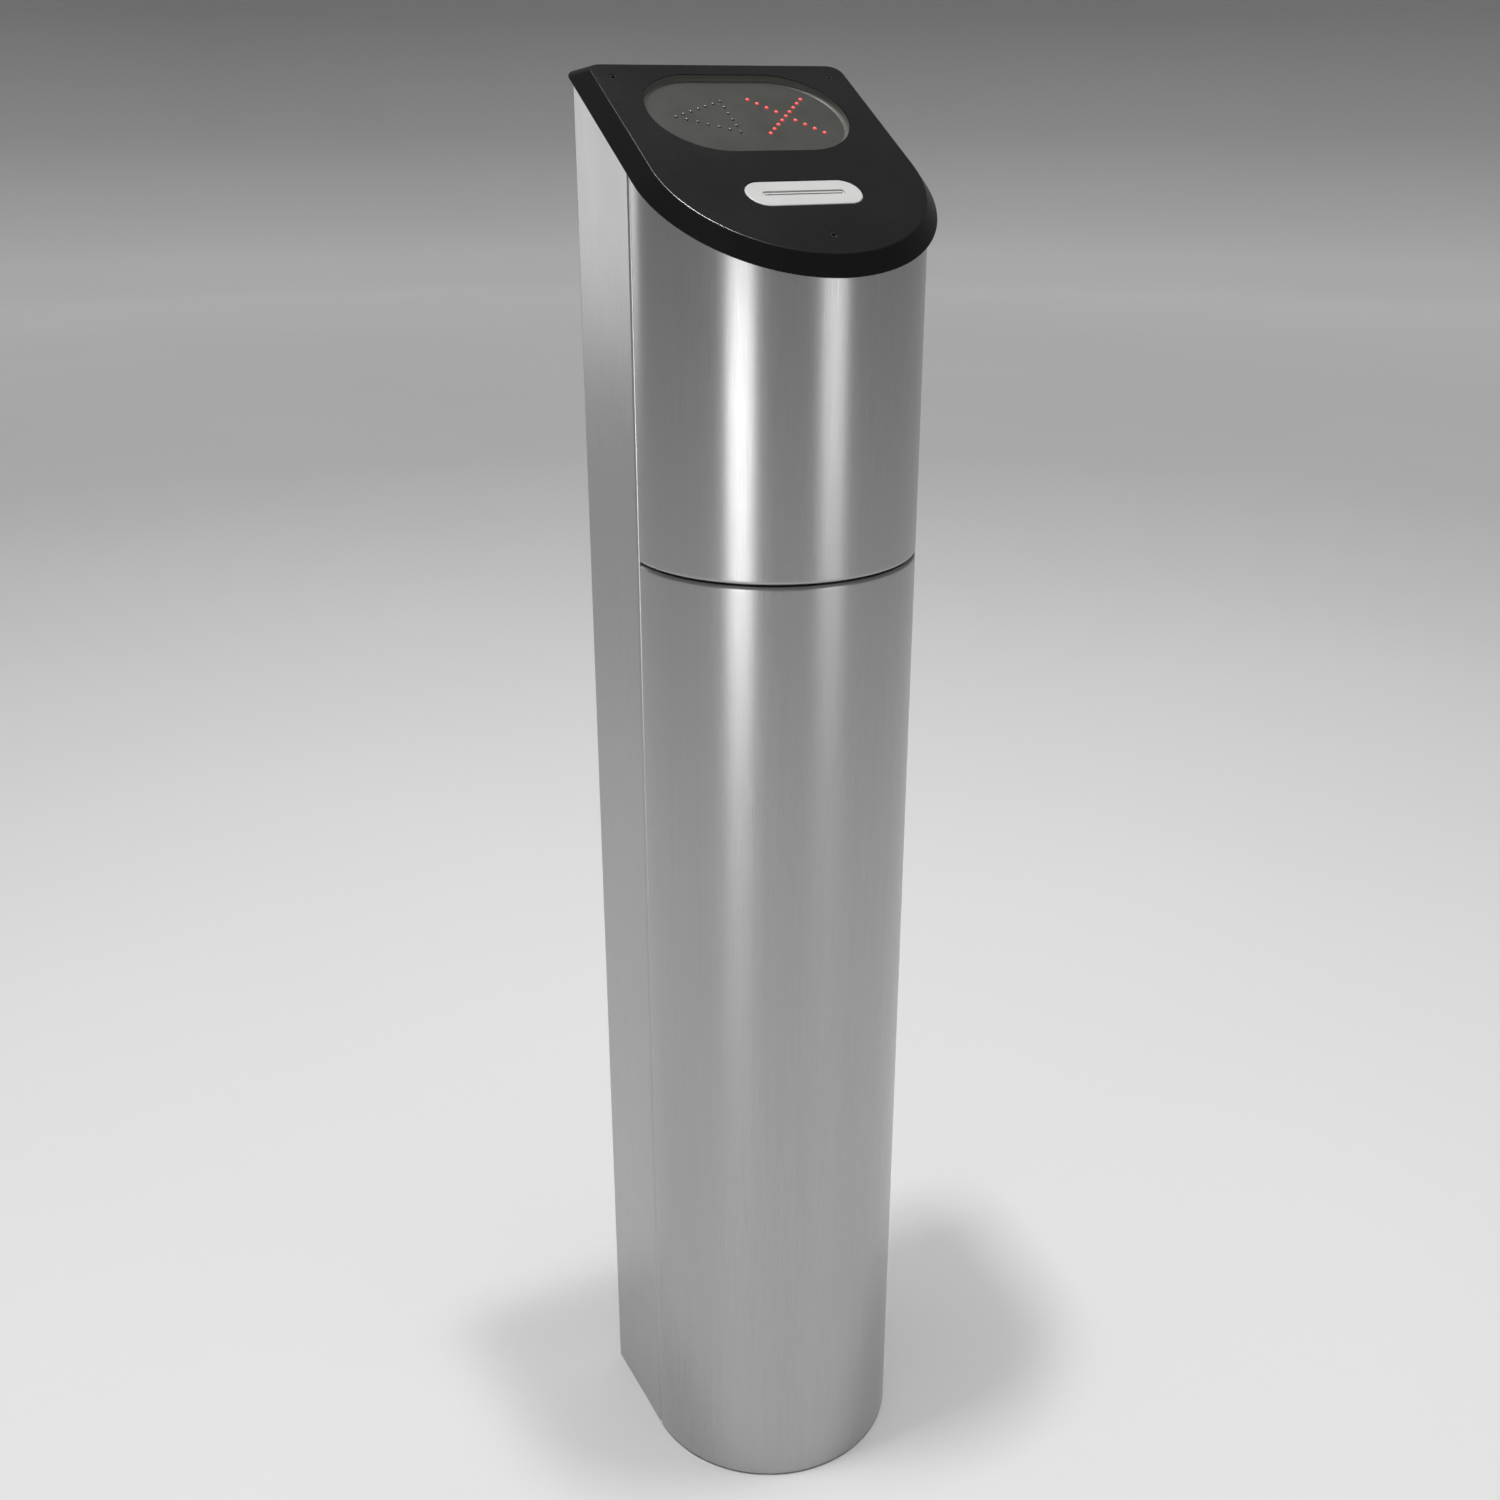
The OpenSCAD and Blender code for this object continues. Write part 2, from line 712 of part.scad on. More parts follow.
// Spacers between the board and the tray, each with its screw
module display_pillars() {
    color("goldenrod") for (p = pillars_uv) on_slope(p[1], 0, p[0]) {
        translate([0, 0, board_top]) cylinder(h = floor_low - board_top, r = 2.5);
        translate([0, 0, board_top - display_board_t - 1]) cylinder(h = 3, r = 1.15);
        translate([0, 0, board_top - display_board_t - 1.2]) cylinder(h = 1.2, r = 2.2);
    }
}

module light(p) {
    on_slope(p[1], 0, p[0]) {
        translate([0, 0, board_top]) cylinder(h = led_top - led_d/2 - board_top, r = led_d/2);
        translate([0, 0, board_top]) cylinder(h = 1, r = led_d/2 + 0.3);
        translate([0, 0, led_top - led_d/2]) sphere(led_d/2);
    }
}

module stop_cross_lights() {
    color("red") for (p = cross_uv) light(p);
}

module pass_arrow_lights() {
    color("gray") for (p = arrow_uv) light(p);
}

module card_slot_bezel() {
    color("whitesmoke") on_slope(slot_v) difference() {
        union() {
            translate([0, 0, lid_top + fit_gap]) linear_extrude(height = cap_t - lid_top - fit_gap)
                stadium(pill_w - 2*fit_gap, pill_h - 2*fit_gap);
            translate([0, 0, lid_top + fit_gap])
                linear_extrude(height = cap_under - hole_gap - lid_top - fit_gap)
                    stadium(pill_w + 6, pill_h + 6);
        }
        translate([0, 0, cap_t - mouth_d]) linear_extrude(height = 2*mouth_d)
            stadium(mouth_w, mouth_h);
        cube([card_w + 1.2, path_t + 0.8, 3*cap_t], center = true);
        translate([-flap_half - flap_gap, hinge_v - slot_v - flap_l - 2*flap_gap, 0])
            cube([2*(flap_half + flap_gap), flap_l + pin_r + 3*flap_gap, flap_n]);
        translate([-pin_half - flap_gap, hinge_v - slot_v, hinge_n]) rotate([0, 90, 0])
            cylinder(h = 2*(pin_half + flap_gap), r = pin_r + run_gap);
    }
}

// Side plates with bores for the shafts, a lid with a hole for the card, and a floor
module reader_chassis() {
    depth = reader_v[1] - reader_v[0];
    color("lightgray") difference() {
        on_slope(reader_v[0]) {
            translate([-lid_half, 0, lid_low]) cube([2*lid_half, depth, lid_t]);
            for (u = [-side_out, side_in]) translate([u, 0, -reader_d])
                cube([side_t, depth, reader_d + lid_top]);
            translate([-side_out, 0, -reader_d]) cube([2*side_out, depth, side_t]);
        }
        on_slope(slot_v, lid_low) cube([card_w + 6, 12, 3*lid_t], center = true);
        for (p = reader_screws_uv) on_slope(p[1], -1, p[0])
            cylinder(h = cap_t, r = cap_screw_r + hole_gap);
        for (v = [drive_v, idler_v]) along_u(v, roll_n, -far/2)
            cylinder(h = far, r = bush_r + hole_gap);
        along_u(motor_v, motor_n, 0) cylinder(h = far, r = 3.5 + hole_gap);
    }
}

module reader_screws() {
    color("silver") for (p = reader_screws_uv) on_slope(p[1], 0, p[0]) {
        translate([0, 0, lid_low - 1.8]) cylinder(h = 1.8, r = 2.75);
        translate([0, 0, lid_low - 1]) cylinder(h = lid_t + 4, r = cap_screw_r);
    }
}

// Two plates with the card's path between them, and windows for the tyres and the head
module card_guides() {
    span = side_in - hole_gap;
    color("gray") difference() {
        for (v = [slot_v - path_t/2 - guide_t, slot_v + path_t/2]) on_slope(v)
            translate([-span, 0, guide_low]) cube([2*span, guide_t, guide_top - guide_low]);
        for (u = [-tyre_u, tyre_u]) on_slope(slot_v, roll_n, u)
            cube([window[0], 10, window[1]], center = true);
        on_slope(slot_v - 3, head_n, -25) cube([head[0] + 1, 6, head[2] + 1], center = true);
    }
}

module bush(v, side) {
    along_u(v, roll_n, side > 0 ? side_out : -side_out - 1)
        ring(bush_lip, shaft_r + run_gap, 1);
    along_u(v, roll_n, side > 0 ? side_in : -side_out) ring(bush_r, shaft_r + run_gap, side_t);
}

module shaft_bushes() {
    color("goldenrod") for (v = [drive_v, idler_v], side = [-1, 1]) bush(v, side);
}

module drive_shaft() {
    color("silver") along_u(drive_v, roll_n, -shaft_end)
        cylinder(h = shaft_end + gear_u + gear_w + 0.5, r = shaft_r);
}

module tyres(v, radius) {
    for (u = [-tyre_u, tyre_u]) along_u(v, roll_n, u - tyre_w/2) ring(radius, shaft_r, tyre_w);
}

module drive_tyres() {
    color("dimgray") tyres(drive_v, drive_r);
}

module idler_shaft() {
    color("silver") along_u(idler_v, roll_n, -shaft_end)
        cylinder(h = 2*shaft_end, r = shaft_r);
}

module idler_tyres() {
    color("dimgray") tyres(idler_v, idler_r);
}

// Involute function in degrees
function involute(a) = tan(a)*180/PI - a;

// Half angle of a tooth at one radius
function tooth_half(teeth, radius) = let (pitch_r = gear_m*teeth/2, base = pitch_r*cos(pressure))
    90/teeth - tooth_slack/2/pitch_r*180/PI + involute(pressure)
        - (radius > base ? involute(acos(base/radius)) : 0);

// One side of a tooth, from the root to the tip
function flank(teeth) = let (pitch_r = gear_m*teeth/2, root = pitch_r - dedendum, tip = pitch_r + addendum)
    [for (k = [0:4]) let (radius = root + (tip - root)*k/4) [radius, tooth_half(teeth, radius)]];

// Spur gear with the middle of a tooth at the angle turn
module spur_gear(teeth, turn, bore) {
    side = flank(teeth);
    outline = [for (t = [0:teeth - 1]) each concat(
        [for (p = side) p[0]*[cos(turn + t*360/teeth - p[1]), sin(turn + t*360/teeth - p[1])]],
        [for (k = [4:-1:0]) let (p = side[k])
            p[0]*[cos(turn + t*360/teeth + p[1]), sin(turn + t*360/teeth + p[1])]])];
    linear_extrude(height = gear_w) difference() {
        polygon(outline);
        circle(bore);
    }
}

module drive_gear() {
    color("white") along_u(drive_v, roll_n, gear_u) spur_gear(gear_teeth, mesh_angle, shaft_r);
}

// Pinion with the motor's shaft
module motor_pinion() {
    color("silver") {
        along_u(motor_v, motor_n, gear_u)
            spur_gear(pinion_teeth, mesh_angle + 180 + 180/pinion_teeth, motor_shaft_r);
        along_u(motor_v, motor_n, side_in - 8)
            cylinder(h = gear_u + gear_w - side_in + 8.5, r = motor_shaft_r);
    }
}

module reader_motor() {
    color("silver") difference() {
        union() {
            along_u(motor_v, motor_n, side_in - motor_l) cylinder(h = motor_l, r = motor_r);
            along_u(motor_v, motor_n, side_in - 1) cylinder(h = 1 + side_t, r = 3.5);
            along_u(motor_v, motor_n, side_in - motor_l - 2) cylinder(h = 3, r = 4);
        }
        along_u(motor_v, motor_n, side_in - 8.5) cylinder(h = far, r = motor_shaft_r + run_gap);
    }
}

module read_head() {
    color("silver") on_slope(slot_v, head_n, -25) {
        translate([-head[0]/2, -head[1] - 0.3, -head[2]/2]) cube(head);
        translate([-head[0], -path_t/2 - guide_t - 3, -head[2]/2]) cube([2*head[0], 3, head[2]]);
    }
}

module reader_board() {
    color("darkgreen") on_slope(0, 0, -side_out - spacer_l - reader_board_t)
        translate([0, reader_board_v[0], reader_board_n[0]])
            cube([reader_board_t, reader_board_v[1] - reader_board_v[0],
                reader_board_n[1] - reader_board_n[0]]);
}

module reader_spacers() {
    color("goldenrod") for (p = spacers_vn) along_u(p[0], p[1], -side_out - spacer_l)
        cylinder(h = spacer_l, r = 2.2);
}

// Flap that closes the card path under the slot's mouth
module slot_shutter() {
    color("whitesmoke") {
        along_u(hinge_v, hinge_n, -pin_half) cylinder(h = 2*pin_half, r = pin_r);
        on_slope(hinge_v - flap_l, hinge_n + pin_r - flap_t)
            translate([-flap_half, 0, 0]) cube([2*flap_half, flap_l, flap_t]);
    }
}

base_plate();
floor_grommet();
earth_stud();
left_upright();
right_upright();
lower_crossbar();
upper_crossbar();
top_deck();
deck_inserts();
rear_housing();
upper_front_cover();
cover_screws();
cover_spacers();
lower_front_cover();
cover_studs();
stud_grommets();
equipment_plate();
plate_screws();
power_supply();
mounting_rail();
terminals();
controller_board();
controller_parts();
board_pillars();
cap_gasket();
top_cover();
cap_screws();
display_window();
display_board();
display_pillars();
stop_cross_lights();
pass_arrow_lights();
card_slot_bezel();
reader_chassis();
reader_screws();
card_guides();
shaft_bushes();
drive_shaft();
drive_tyres();
drive_gear();
idler_shaft();
idler_tyres();
reader_motor();
motor_pinion();
read_head();
reader_board();
reader_spacers();
slot_shutter();
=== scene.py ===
import json
import math

import bmesh
import bpy
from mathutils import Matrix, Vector

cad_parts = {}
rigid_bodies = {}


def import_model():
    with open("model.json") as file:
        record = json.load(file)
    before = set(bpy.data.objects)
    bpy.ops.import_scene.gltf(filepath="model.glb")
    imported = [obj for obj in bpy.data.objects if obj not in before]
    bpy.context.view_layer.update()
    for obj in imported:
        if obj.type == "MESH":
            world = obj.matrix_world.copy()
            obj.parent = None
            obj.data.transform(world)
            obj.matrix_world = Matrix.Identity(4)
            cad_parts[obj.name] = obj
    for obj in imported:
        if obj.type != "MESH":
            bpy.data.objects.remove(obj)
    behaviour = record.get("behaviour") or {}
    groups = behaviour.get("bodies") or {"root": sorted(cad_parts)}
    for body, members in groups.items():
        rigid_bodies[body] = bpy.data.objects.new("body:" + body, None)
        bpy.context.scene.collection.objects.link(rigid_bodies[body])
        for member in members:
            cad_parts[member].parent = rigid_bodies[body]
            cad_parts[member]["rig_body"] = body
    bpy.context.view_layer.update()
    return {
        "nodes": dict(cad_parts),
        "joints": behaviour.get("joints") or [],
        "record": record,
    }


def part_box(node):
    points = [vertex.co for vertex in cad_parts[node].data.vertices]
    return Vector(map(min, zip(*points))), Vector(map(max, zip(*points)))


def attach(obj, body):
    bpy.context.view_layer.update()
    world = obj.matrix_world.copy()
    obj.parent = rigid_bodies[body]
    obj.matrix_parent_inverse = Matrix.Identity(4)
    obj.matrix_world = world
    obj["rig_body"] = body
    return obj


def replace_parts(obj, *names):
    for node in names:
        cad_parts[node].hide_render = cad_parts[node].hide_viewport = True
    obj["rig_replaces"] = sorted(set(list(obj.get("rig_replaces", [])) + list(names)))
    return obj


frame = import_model()
cadNodes = frame["nodes"]
joints = {joint["name"]: joint for joint in frame["joints"]}
bodyOf = {name: part["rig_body"] for name, part in cadNodes.items()}
print("frame loaded,", len(cadNodes), "nodes")

# The post's own measures, read off the frame
liftAxis = Vector(joints["cap_lift"]["axis"])
slope = math.atan2(-liftAxis.y, liftAxis.z)
slopeSin, slopeCos = math.sin(slope), math.cos(slope)
capLow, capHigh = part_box("top_cover")
lowerLow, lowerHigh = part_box("lower_front_cover")
upperLow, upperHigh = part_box("upper_front_cover")
housingLow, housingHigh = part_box("rear_housing")
bodyRadius = lowerHigh.x
capRadius = capHigh.x
seatHeight = capLow.z - capLow.y * math.tan(slope)
capBack = capHigh.y / slopeCos
capCentre = capLow.y / slopeCos + capRadius
capThickness = (capHigh.z - seatHeight - capBack * slopeSin) / (slopeCos - slopeSin)


def onSlope(u, v, n):
    # u sideways, v up the slope, n out of it
    return Vector((u, v * slopeCos - n * slopeSin, seatHeight + v * slopeSin + n * slopeCos))


def laidDown(x, y, z):
    # the other way round: u, v and n of a place
    z -= seatHeight
    return x, y * slopeCos + z * slopeSin, z * slopeCos - y * slopeSin


def slopeBox(name):
    # lowest and highest u, v and n of a node
    points = [laidDown(*vertex.co) for vertex in cadNodes[name].data.vertices]
    return [min(axis) for axis in zip(*points)], [max(axis) for axis in zip(*points)]


def slopeHeight(y, drop):
    # height of the sloping plane that lies drop below the cap's seat
    return seatHeight + y * math.tan(slope) - drop / slopeCos


# Node helpers for the finishes and the patterns

def feed(tree, socket, item):
    # links a socket, or sets a plain number or colour on it
    if isinstance(item, bpy.types.NodeSocket):
        tree.links.new(item, socket)
    else:
        socket.default_value = item if isinstance(item, (int, float)) else (*item, 1)


def startFinish(name, settings):
    material = bpy.data.materials.new(name)
    material.use_nodes = True
    shader = material.node_tree.nodes["Principled BSDF"]
    for socket, value in settings.items():
        shader.inputs[socket].default_value = value
    return material, material.node_tree, shader


def addPattern(tree, kind, scale, stretch=(1, 1, 1), turn=(0, 0, 0), output=0, **inputs):
    coords = tree.nodes.new("ShaderNodeTexCoord")
    place = tree.nodes.new("ShaderNodeMapping")
    place.inputs["Scale"].default_value = stretch
    place.inputs["Rotation"].default_value = turn
    texture = tree.nodes.new(kind)
    texture.inputs["Scale"].default_value = scale
    for socket, value in inputs.items():
        texture.inputs[socket].default_value = value
    tree.links.new(coords.outputs["Object"], place.inputs["Vector"])
    tree.links.new(place.outputs["Vector"], texture.inputs["Vector"])
    return texture.outputs[output]


def addRange(tree, value, low, high, start=0.3, end=0.7):
    node = tree.nodes.new("ShaderNodeMapRange")
    for socket, number in (("From Min", start), ("From Max", end), ("To Min", low), ("To Max", high)):
        node.inputs[socket].default_value = number
    tree.links.new(value, node.inputs["Value"])
    return node.outputs["Result"]


def addMath(tree, operation, first, second):
    node = tree.nodes.new("ShaderNodeMath")
    node.operation = operation
    for index, item in enumerate((first, second)):
        feed(tree, node.inputs[index], item)
    return node.outputs[0]


def addShades(tree, value, stops):
    node = tree.nodes.new("ShaderNodeValToRGB")
    ramp = node.color_ramp
    while len(ramp.elements) < len(stops):
        ramp.elements.new(0.5)
    for element, (place, colour) in zip(ramp.elements, stops):
        element.position = place
        element.color = (*colour, 1)
    tree.links.new(value, node.inputs["Fac"])
    return node.outputs["Color"]


def addMix(tree, share, first, second, blend="MIX"):
    node = tree.nodes.new("ShaderNodeMix")
    node.data_type = "RGBA"
    node.blend_type = blend
    for index, item in ((0, share), (6, first), (7, second)):
        feed(tree, node.inputs[index], item)
    return node.outputs[2]


def addRelief(tree, shader, height, depth, strength=1.0):
    node = tree.nodes.new("ShaderNodeBump")
    node.inputs["Strength"].default_value = strength
    node.inputs["Distance"].default_value = depth
    tree.links.new(height, node.inputs["Height"])
    tree.links.new(node.outputs["Normal"], shader.inputs["Normal"])


def grey(value):
    return (value, value, value)


# Finishes, one for each slot of the record

steelLook = {"bright": 0.455, "dull": 0.42, "rough": 0.31, "spread": 0.05, "grainFine": 5200, "grainRun": 26,
             "sockets": {"Metallic": 1.0, "Anisotropic": 0.6, "Anisotropic Rotation": 0.25}}


def makeBrushedStainless():
    look = steelLook
    material, tree, shader = startFinish("brushedStainless", look["sockets"])
    fine, long = look["grainFine"], look["grainRun"]
    lines = addPattern(tree, "ShaderNodeTexNoise", 1, (fine, fine, long), Detail=3)
    bands = addPattern(tree, "ShaderNodeTexNoise", 1, (260, 260, 5), Detail=2)
    haze = addPattern(tree, "ShaderNodeTexNoise", 9, (1, 1, 0.5), Detail=3)
    both = addMath(tree, "ADD", addMath(tree, "MULTIPLY", lines, 0.7), addMath(tree, "MULTIPLY", bands, 0.3))
    steel = addShades(tree, both, ((0.35, grey(look["dull"])), (0.65, grey(look["bright"]))))
    tree.links.new(steel, shader.inputs["Base Color"])
    grain = addRange(tree, lines, look["rough"] - look["spread"], look["rough"] + look["spread"])
    tree.links.new(addMath(tree, "ADD", grain, addRange(tree, haze, -0.02, 0.03)), shader.inputs["Roughness"])
    along = tree.nodes.new("ShaderNodeTangent")
    along.direction_type = "UV_MAP"
    along.uv_map = "run"
    tree.links.new(along.outputs["Tangent"], shader.inputs["Tangent"])
    addRelief(tree, shader, lines, 0.00002, 0.25)
    return material


def makeBlackCoat():
    material, tree, shader = startFinish("blackPowderCoat", {"Specular IOR Level": 0.42})
    pebble = addPattern(tree, "ShaderNodeTexNoise", 1500, Detail=2)
    drift = addPattern(tree, "ShaderNodeTexNoise", 14, Detail=3)
    coat = addShades(tree, drift, ((0.3, grey(0.0022)), (0.7, grey(0.0032))))
    tree.links.new(coat, shader.inputs["Base Color"])
    rough = addMath(tree, "ADD", addRange(tree, pebble, 0.21, 0.27), addRange(tree, drift, -0.02, 0.03))
    tree.links.new(rough, shader.inputs["Roughness"])
    addRelief(tree, shader, pebble, 0.00004, 0.35)
    return material


def makeMoulding(name, light, dark, rough, bump=0.00003, scale=1100, **settings):
    # plastics and rubber: a faint cloud in the colour and a fine moulded grain
    named = {socket.replace("_", " "): value for socket, value in settings.items()}
    material, tree, shader = startFinish(name, named)
    cloud = addPattern(tree, "ShaderNodeTexNoise", 35, Detail=4)
    grain = addPattern(tree, "ShaderNodeTexVoronoi", scale, Randomness=0.9)
    tree.links.new(addShades(tree, cloud, ((0.3, dark), (0.7, light))), shader.inputs["Base Color"])
    clouded = addRange(tree, cloud, rough - 0.03, rough + 0.03)
    grained = addRange(tree, grain, -0.02, 0.03, 0, 0.8)
    tree.links.new(addMath(tree, "ADD", clouded, grained), shader.inputs["Roughness"])
    addRelief(tree, shader, grain, bump, 0.3)
    return material


def makePlated(name, light, dark, rough, spangle=60, warm=None, **settings):
    # plated and bare metals: cells of the plating, then rolling lines
    named = {socket.replace("_", " "): value for socket, value in settings.items()}
    material, tree, shader = startFinish(name, {"Metallic": 1.0, **named})
    cells = addPattern(tree, "ShaderNodeTexVoronoi", spangle, output=1)
    split = tree.nodes.new("ShaderNodeSeparateColor")
    tree.links.new(cells, split.inputs["Color"])
    fine = addPattern(tree, "ShaderNodeTexNoise", 700, (1, 1, 0.15), Detail=4)
    cell, line = (addMath(tree, "MULTIPLY", part, 0.5) for part in (split.outputs[0], fine))
    blend = addMath(tree, "ADD", cell, line)
    metal = addShades(tree, blend, ((0.25, dark), (0.6, light), (0.85, warm or light)))
    tree.links.new(metal, shader.inputs["Base Color"])
    tree.links.new(addRange(tree, blend, rough - 0.06, rough + 0.08), shader.inputs["Roughness"])
    addRelief(tree, shader, fine, 0.00002, 0.25)
    return material


def makeCircuitBoard():
    material, tree, shader = startFinish("circuitBoard", {"Coat Weight": 0.4, "Coat Roughness": 0.12})
    tracks = addPattern(tree, "ShaderNodeTexBrick", 160, (1, 1, 1), (math.pi / 2, 0, 0), output=1)
    pads = addPattern(tree, "ShaderNodeTexVoronoi", 420, Randomness=0.35)
    mottled = addPattern(tree, "ShaderNodeTexNoise", 90, Detail=5)
    mask = addShades(tree, mottled, ((0.3, (0.008, 0.075, 0.028)), (0.7, (0.012, 0.11, 0.042))))
    copper = addMix(tree, addRange(tree, tracks, 0, 0.55, 0, 1), mask, (0.05, 0.24, 0.09))
    tinned = addMix(tree, addRange(tree, pads, 1, 0, 0.10, 0.14), copper, (0.55, 0.54, 0.50))
    tree.links.new(tinned, shader.inputs["Base Color"])
    tree.links.new(addRange(tree, mottled, 0.28, 0.42), shader.inputs["Roughness"])
    addRelief(tree, shader, tracks, 0.00005, 0.4)
    return material


def makeLens(name, middle, edge, rough, glow=None):
    settings = {"Coat Weight": 0.1, "Coat Roughness": 0.25}
    if glow:
        settings.update({"Emission Color": (*glow, 1), "Emission Strength": 0.5})
    material, tree, shader = startFinish(name, settings)
    swirl = addPattern(tree, "ShaderNodeTexNoise", 900, Detail=3)
    tree.links.new(addShades(tree, swirl, ((0.3, edge), (0.7, middle))), shader.inputs["Base Color"])
    tree.links.new(addRange(tree, swirl, rough - 0.04, rough + 0.06), shader.inputs["Roughness"])
    addRelief(tree, shader, swirl, 0.00003, 0.3)
    return material


windowLook = {"floorThickness": 0.0015, "wallHeight": 0.0044}


def makeSmokedWindow():
    # the sunk floor keeps the pane's own dark colour; up its wall the colour is painted up to 4.6 times paler as
    # painted light, and a thin band at the wall's top is painted near black as painted shade
    material, tree, shader = startFinish("smokedWindow", {"Specular IOR Level": 0.25})
    cloud = addPattern(tree, "ShaderNodeTexNoise", 40, Detail=4)
    coords = tree.nodes.new("ShaderNodeTexCoord")
    level = tree.nodes.new("ShaderNodeVectorMath")
    level.operation = "DOT_PRODUCT"
    level.inputs[1].default_value = (0, -slopeSin, slopeCos)
    tree.links.new(coords.outputs["Object"], level.inputs[0])
    floor = seatHeight * slopeCos + slopeBox("display_window")[0][2] + windowLook["floorThickness"]
    climb = addRange(tree, level.outputs["Value"], 0, 1, floor, floor + windowLook["wallHeight"])
    pane = addShades(tree, cloud, ((0.3, (0.037, 0.038, 0.033)), (0.7, (0.041, 0.042, 0.037))))
    # painted light up the wall, then painted shade along its top edge
    wall = addShades(tree, climb, ((0, grey(1.0)), (0.15, grey(3.2)), (0.92, grey(4.6)), (0.98, grey(0.1))))
    tree.links.new(addMix(tree, 1.0, pane, wall, "MULTIPLY"), shader.inputs["Base Color"])
    tree.links.new(addRange(tree, cloud, 0.40, 0.48), shader.inputs["Roughness"])
    addRelief(tree, shader, cloud, 0.00002, 0.15)
    return material


finishes = {
    "brushed_stainless": makeBrushedStainless(),
    "black_cap": makeBlackCoat(),
    "zinc_steel": makePlated("brightZinc", (0.62, 0.63, 0.65), (0.46, 0.47, 0.49), 0.34, 240,
                             (0.66, 0.64, 0.56)),
    "galvanised_steel": makePlated("galvanisedSheet", (0.55, 0.57, 0.59), (0.36, 0.38, 0.40), 0.42, 95),
    "base_steel": makePlated("primedPlate", (0.075, 0.078, 0.082), (0.045, 0.047, 0.05), 0.58, 30,
                             (0.1, 0.1, 0.1), Metallic=0.3),
    "black_rubber": makeMoulding("blackRubber", grey(0.028), grey(0.017), 0.78, 0.00008, 700),
    "brass": makePlated("turnedBrass", (0.80, 0.60, 0.28), (0.58, 0.40, 0.16), 0.26, 120,
                        (0.86, 0.68, 0.36)),
    "smoked_window": makeSmokedWindow(),
    "circuit_board": makeCircuitBoard(),
    "component_plastic": makeMoulding("componentBlack", grey(0.042), grey(0.024), 0.52, 0.00004, 1500),
    "red_light": makeLens("litLens", (0.80, 0.10, 0.09), (0.62, 0.05, 0.045), 0.42,
                          (1.0, 0.09, 0.08)),
    "unlit_light": makeLens("unlitLens", (0.088, 0.089, 0.081), (0.072, 0.073, 0.067), 0.34),
    "pale_plastic": makeMoulding("palePlastic", (0.455, 0.455, 0.45), (0.43, 0.43, 0.425), 0.38),
    "gear_plastic": makeMoulding("gearAcetal", (0.80, 0.78, 0.70), (0.72, 0.70, 0.62), 0.36),
    "guide_plastic": makeMoulding("guideMoulding", grey(0.050), grey(0.034), 0.45),
    "terminal_plastic": makeMoulding("terminalMoulding", (0.42, 0.43, 0.43), (0.34, 0.35, 0.35), 0.46),
    "black_screw": makePlated("blackOxide", grey(0.022), grey(0.011), 0.40, 300, Metallic=0.8),
}
print("finishes made:", len(finishes))


# Mesh helpers

def meshPiece(name, points, faces, body, slotName, stands, uvs):
    mesh = bpy.data.meshes.new(name)
    mesh.from_pydata([tuple(point) for point in points], [], faces)
    layer = mesh.uv_layers.new(name="run")
    for loop in mesh.loops:
        layer.data[loop.index].uv = uvs[loop.vertex_index]
    work = bmesh.new()
    work.from_mesh(mesh)
    bmesh.ops.recalc_face_normals(work, faces=work.faces)
    work.to_mesh(mesh)
    work.free()
    placePiece(name, mesh, body, slotName, stands)


def placePiece(name, mesh, body, slotName, stands, smooth=32):
    mesh.materials.clear()
    mesh.materials.append(finishes[slotName])
    mesh.shade_smooth()
    mesh.set_sharp_from_angle(angle=math.radians(smooth))
    piece = bpy.data.objects.new(name, mesh)
    bpy.context.scene.collection.objects.link(piece)
    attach(piece, body)
    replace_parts(piece, *stands)
    return piece


def sweptShell(sections, runs):
    # joins equal closed sections one after the other and caps both ends
    count = len(sections[0])
    points = [point for section in sections for point in section]
    faces = [tuple(range(count)), tuple(len(points) - 1 - k for k in range(count))]
    for s in range(len(sections) - 1):
        for k in range(count):
            after = (k + 1) % count
            faces.append((s * count + k, s * count + after, (s + 1) * count + after, (s + 1) * count + k))
    uvs = [(run, point.z) for section, run in zip(sections, runs) for point in section]
    return points, faces, uvs


def arc(centreX, centreY, radius, start, end, steps):
    # points and outward directions along an arc, degrees
    made = []
    for k in range(steps + 1):
        angle = math.radians(start + (end - start) * k / steps)
        way = Vector((math.cos(angle), math.sin(angle)))
        made.append((Vector((centreX, centreY)) + way * radius, way))
    return made


# Sheet steel: the rear housing and the two front covers

sheetWork = {"sheet": 0.0015, "fold": 0.0024, "flange": 0.014, "lip": 0.010, "coverBack": 0.0024,
             "topGap": 0.0004, "flangeDrop": 0.0053, "station": 0.0006, "lipStation": 0.0008,
             "broken": 0.0003, "flangeBroken": 0.0002, "turns": 128, "foldSteps": 8, "bendSteps": 6}
leftward, forward, rearward = Vector((-1, 0)), Vector((0, -1)), Vector((0, 1))


def mirrored(path):
    return [(Vector((-place.x, place.y)), Vector((-out.x, out.y)), kind) for place, out, kind in reversed(path)]


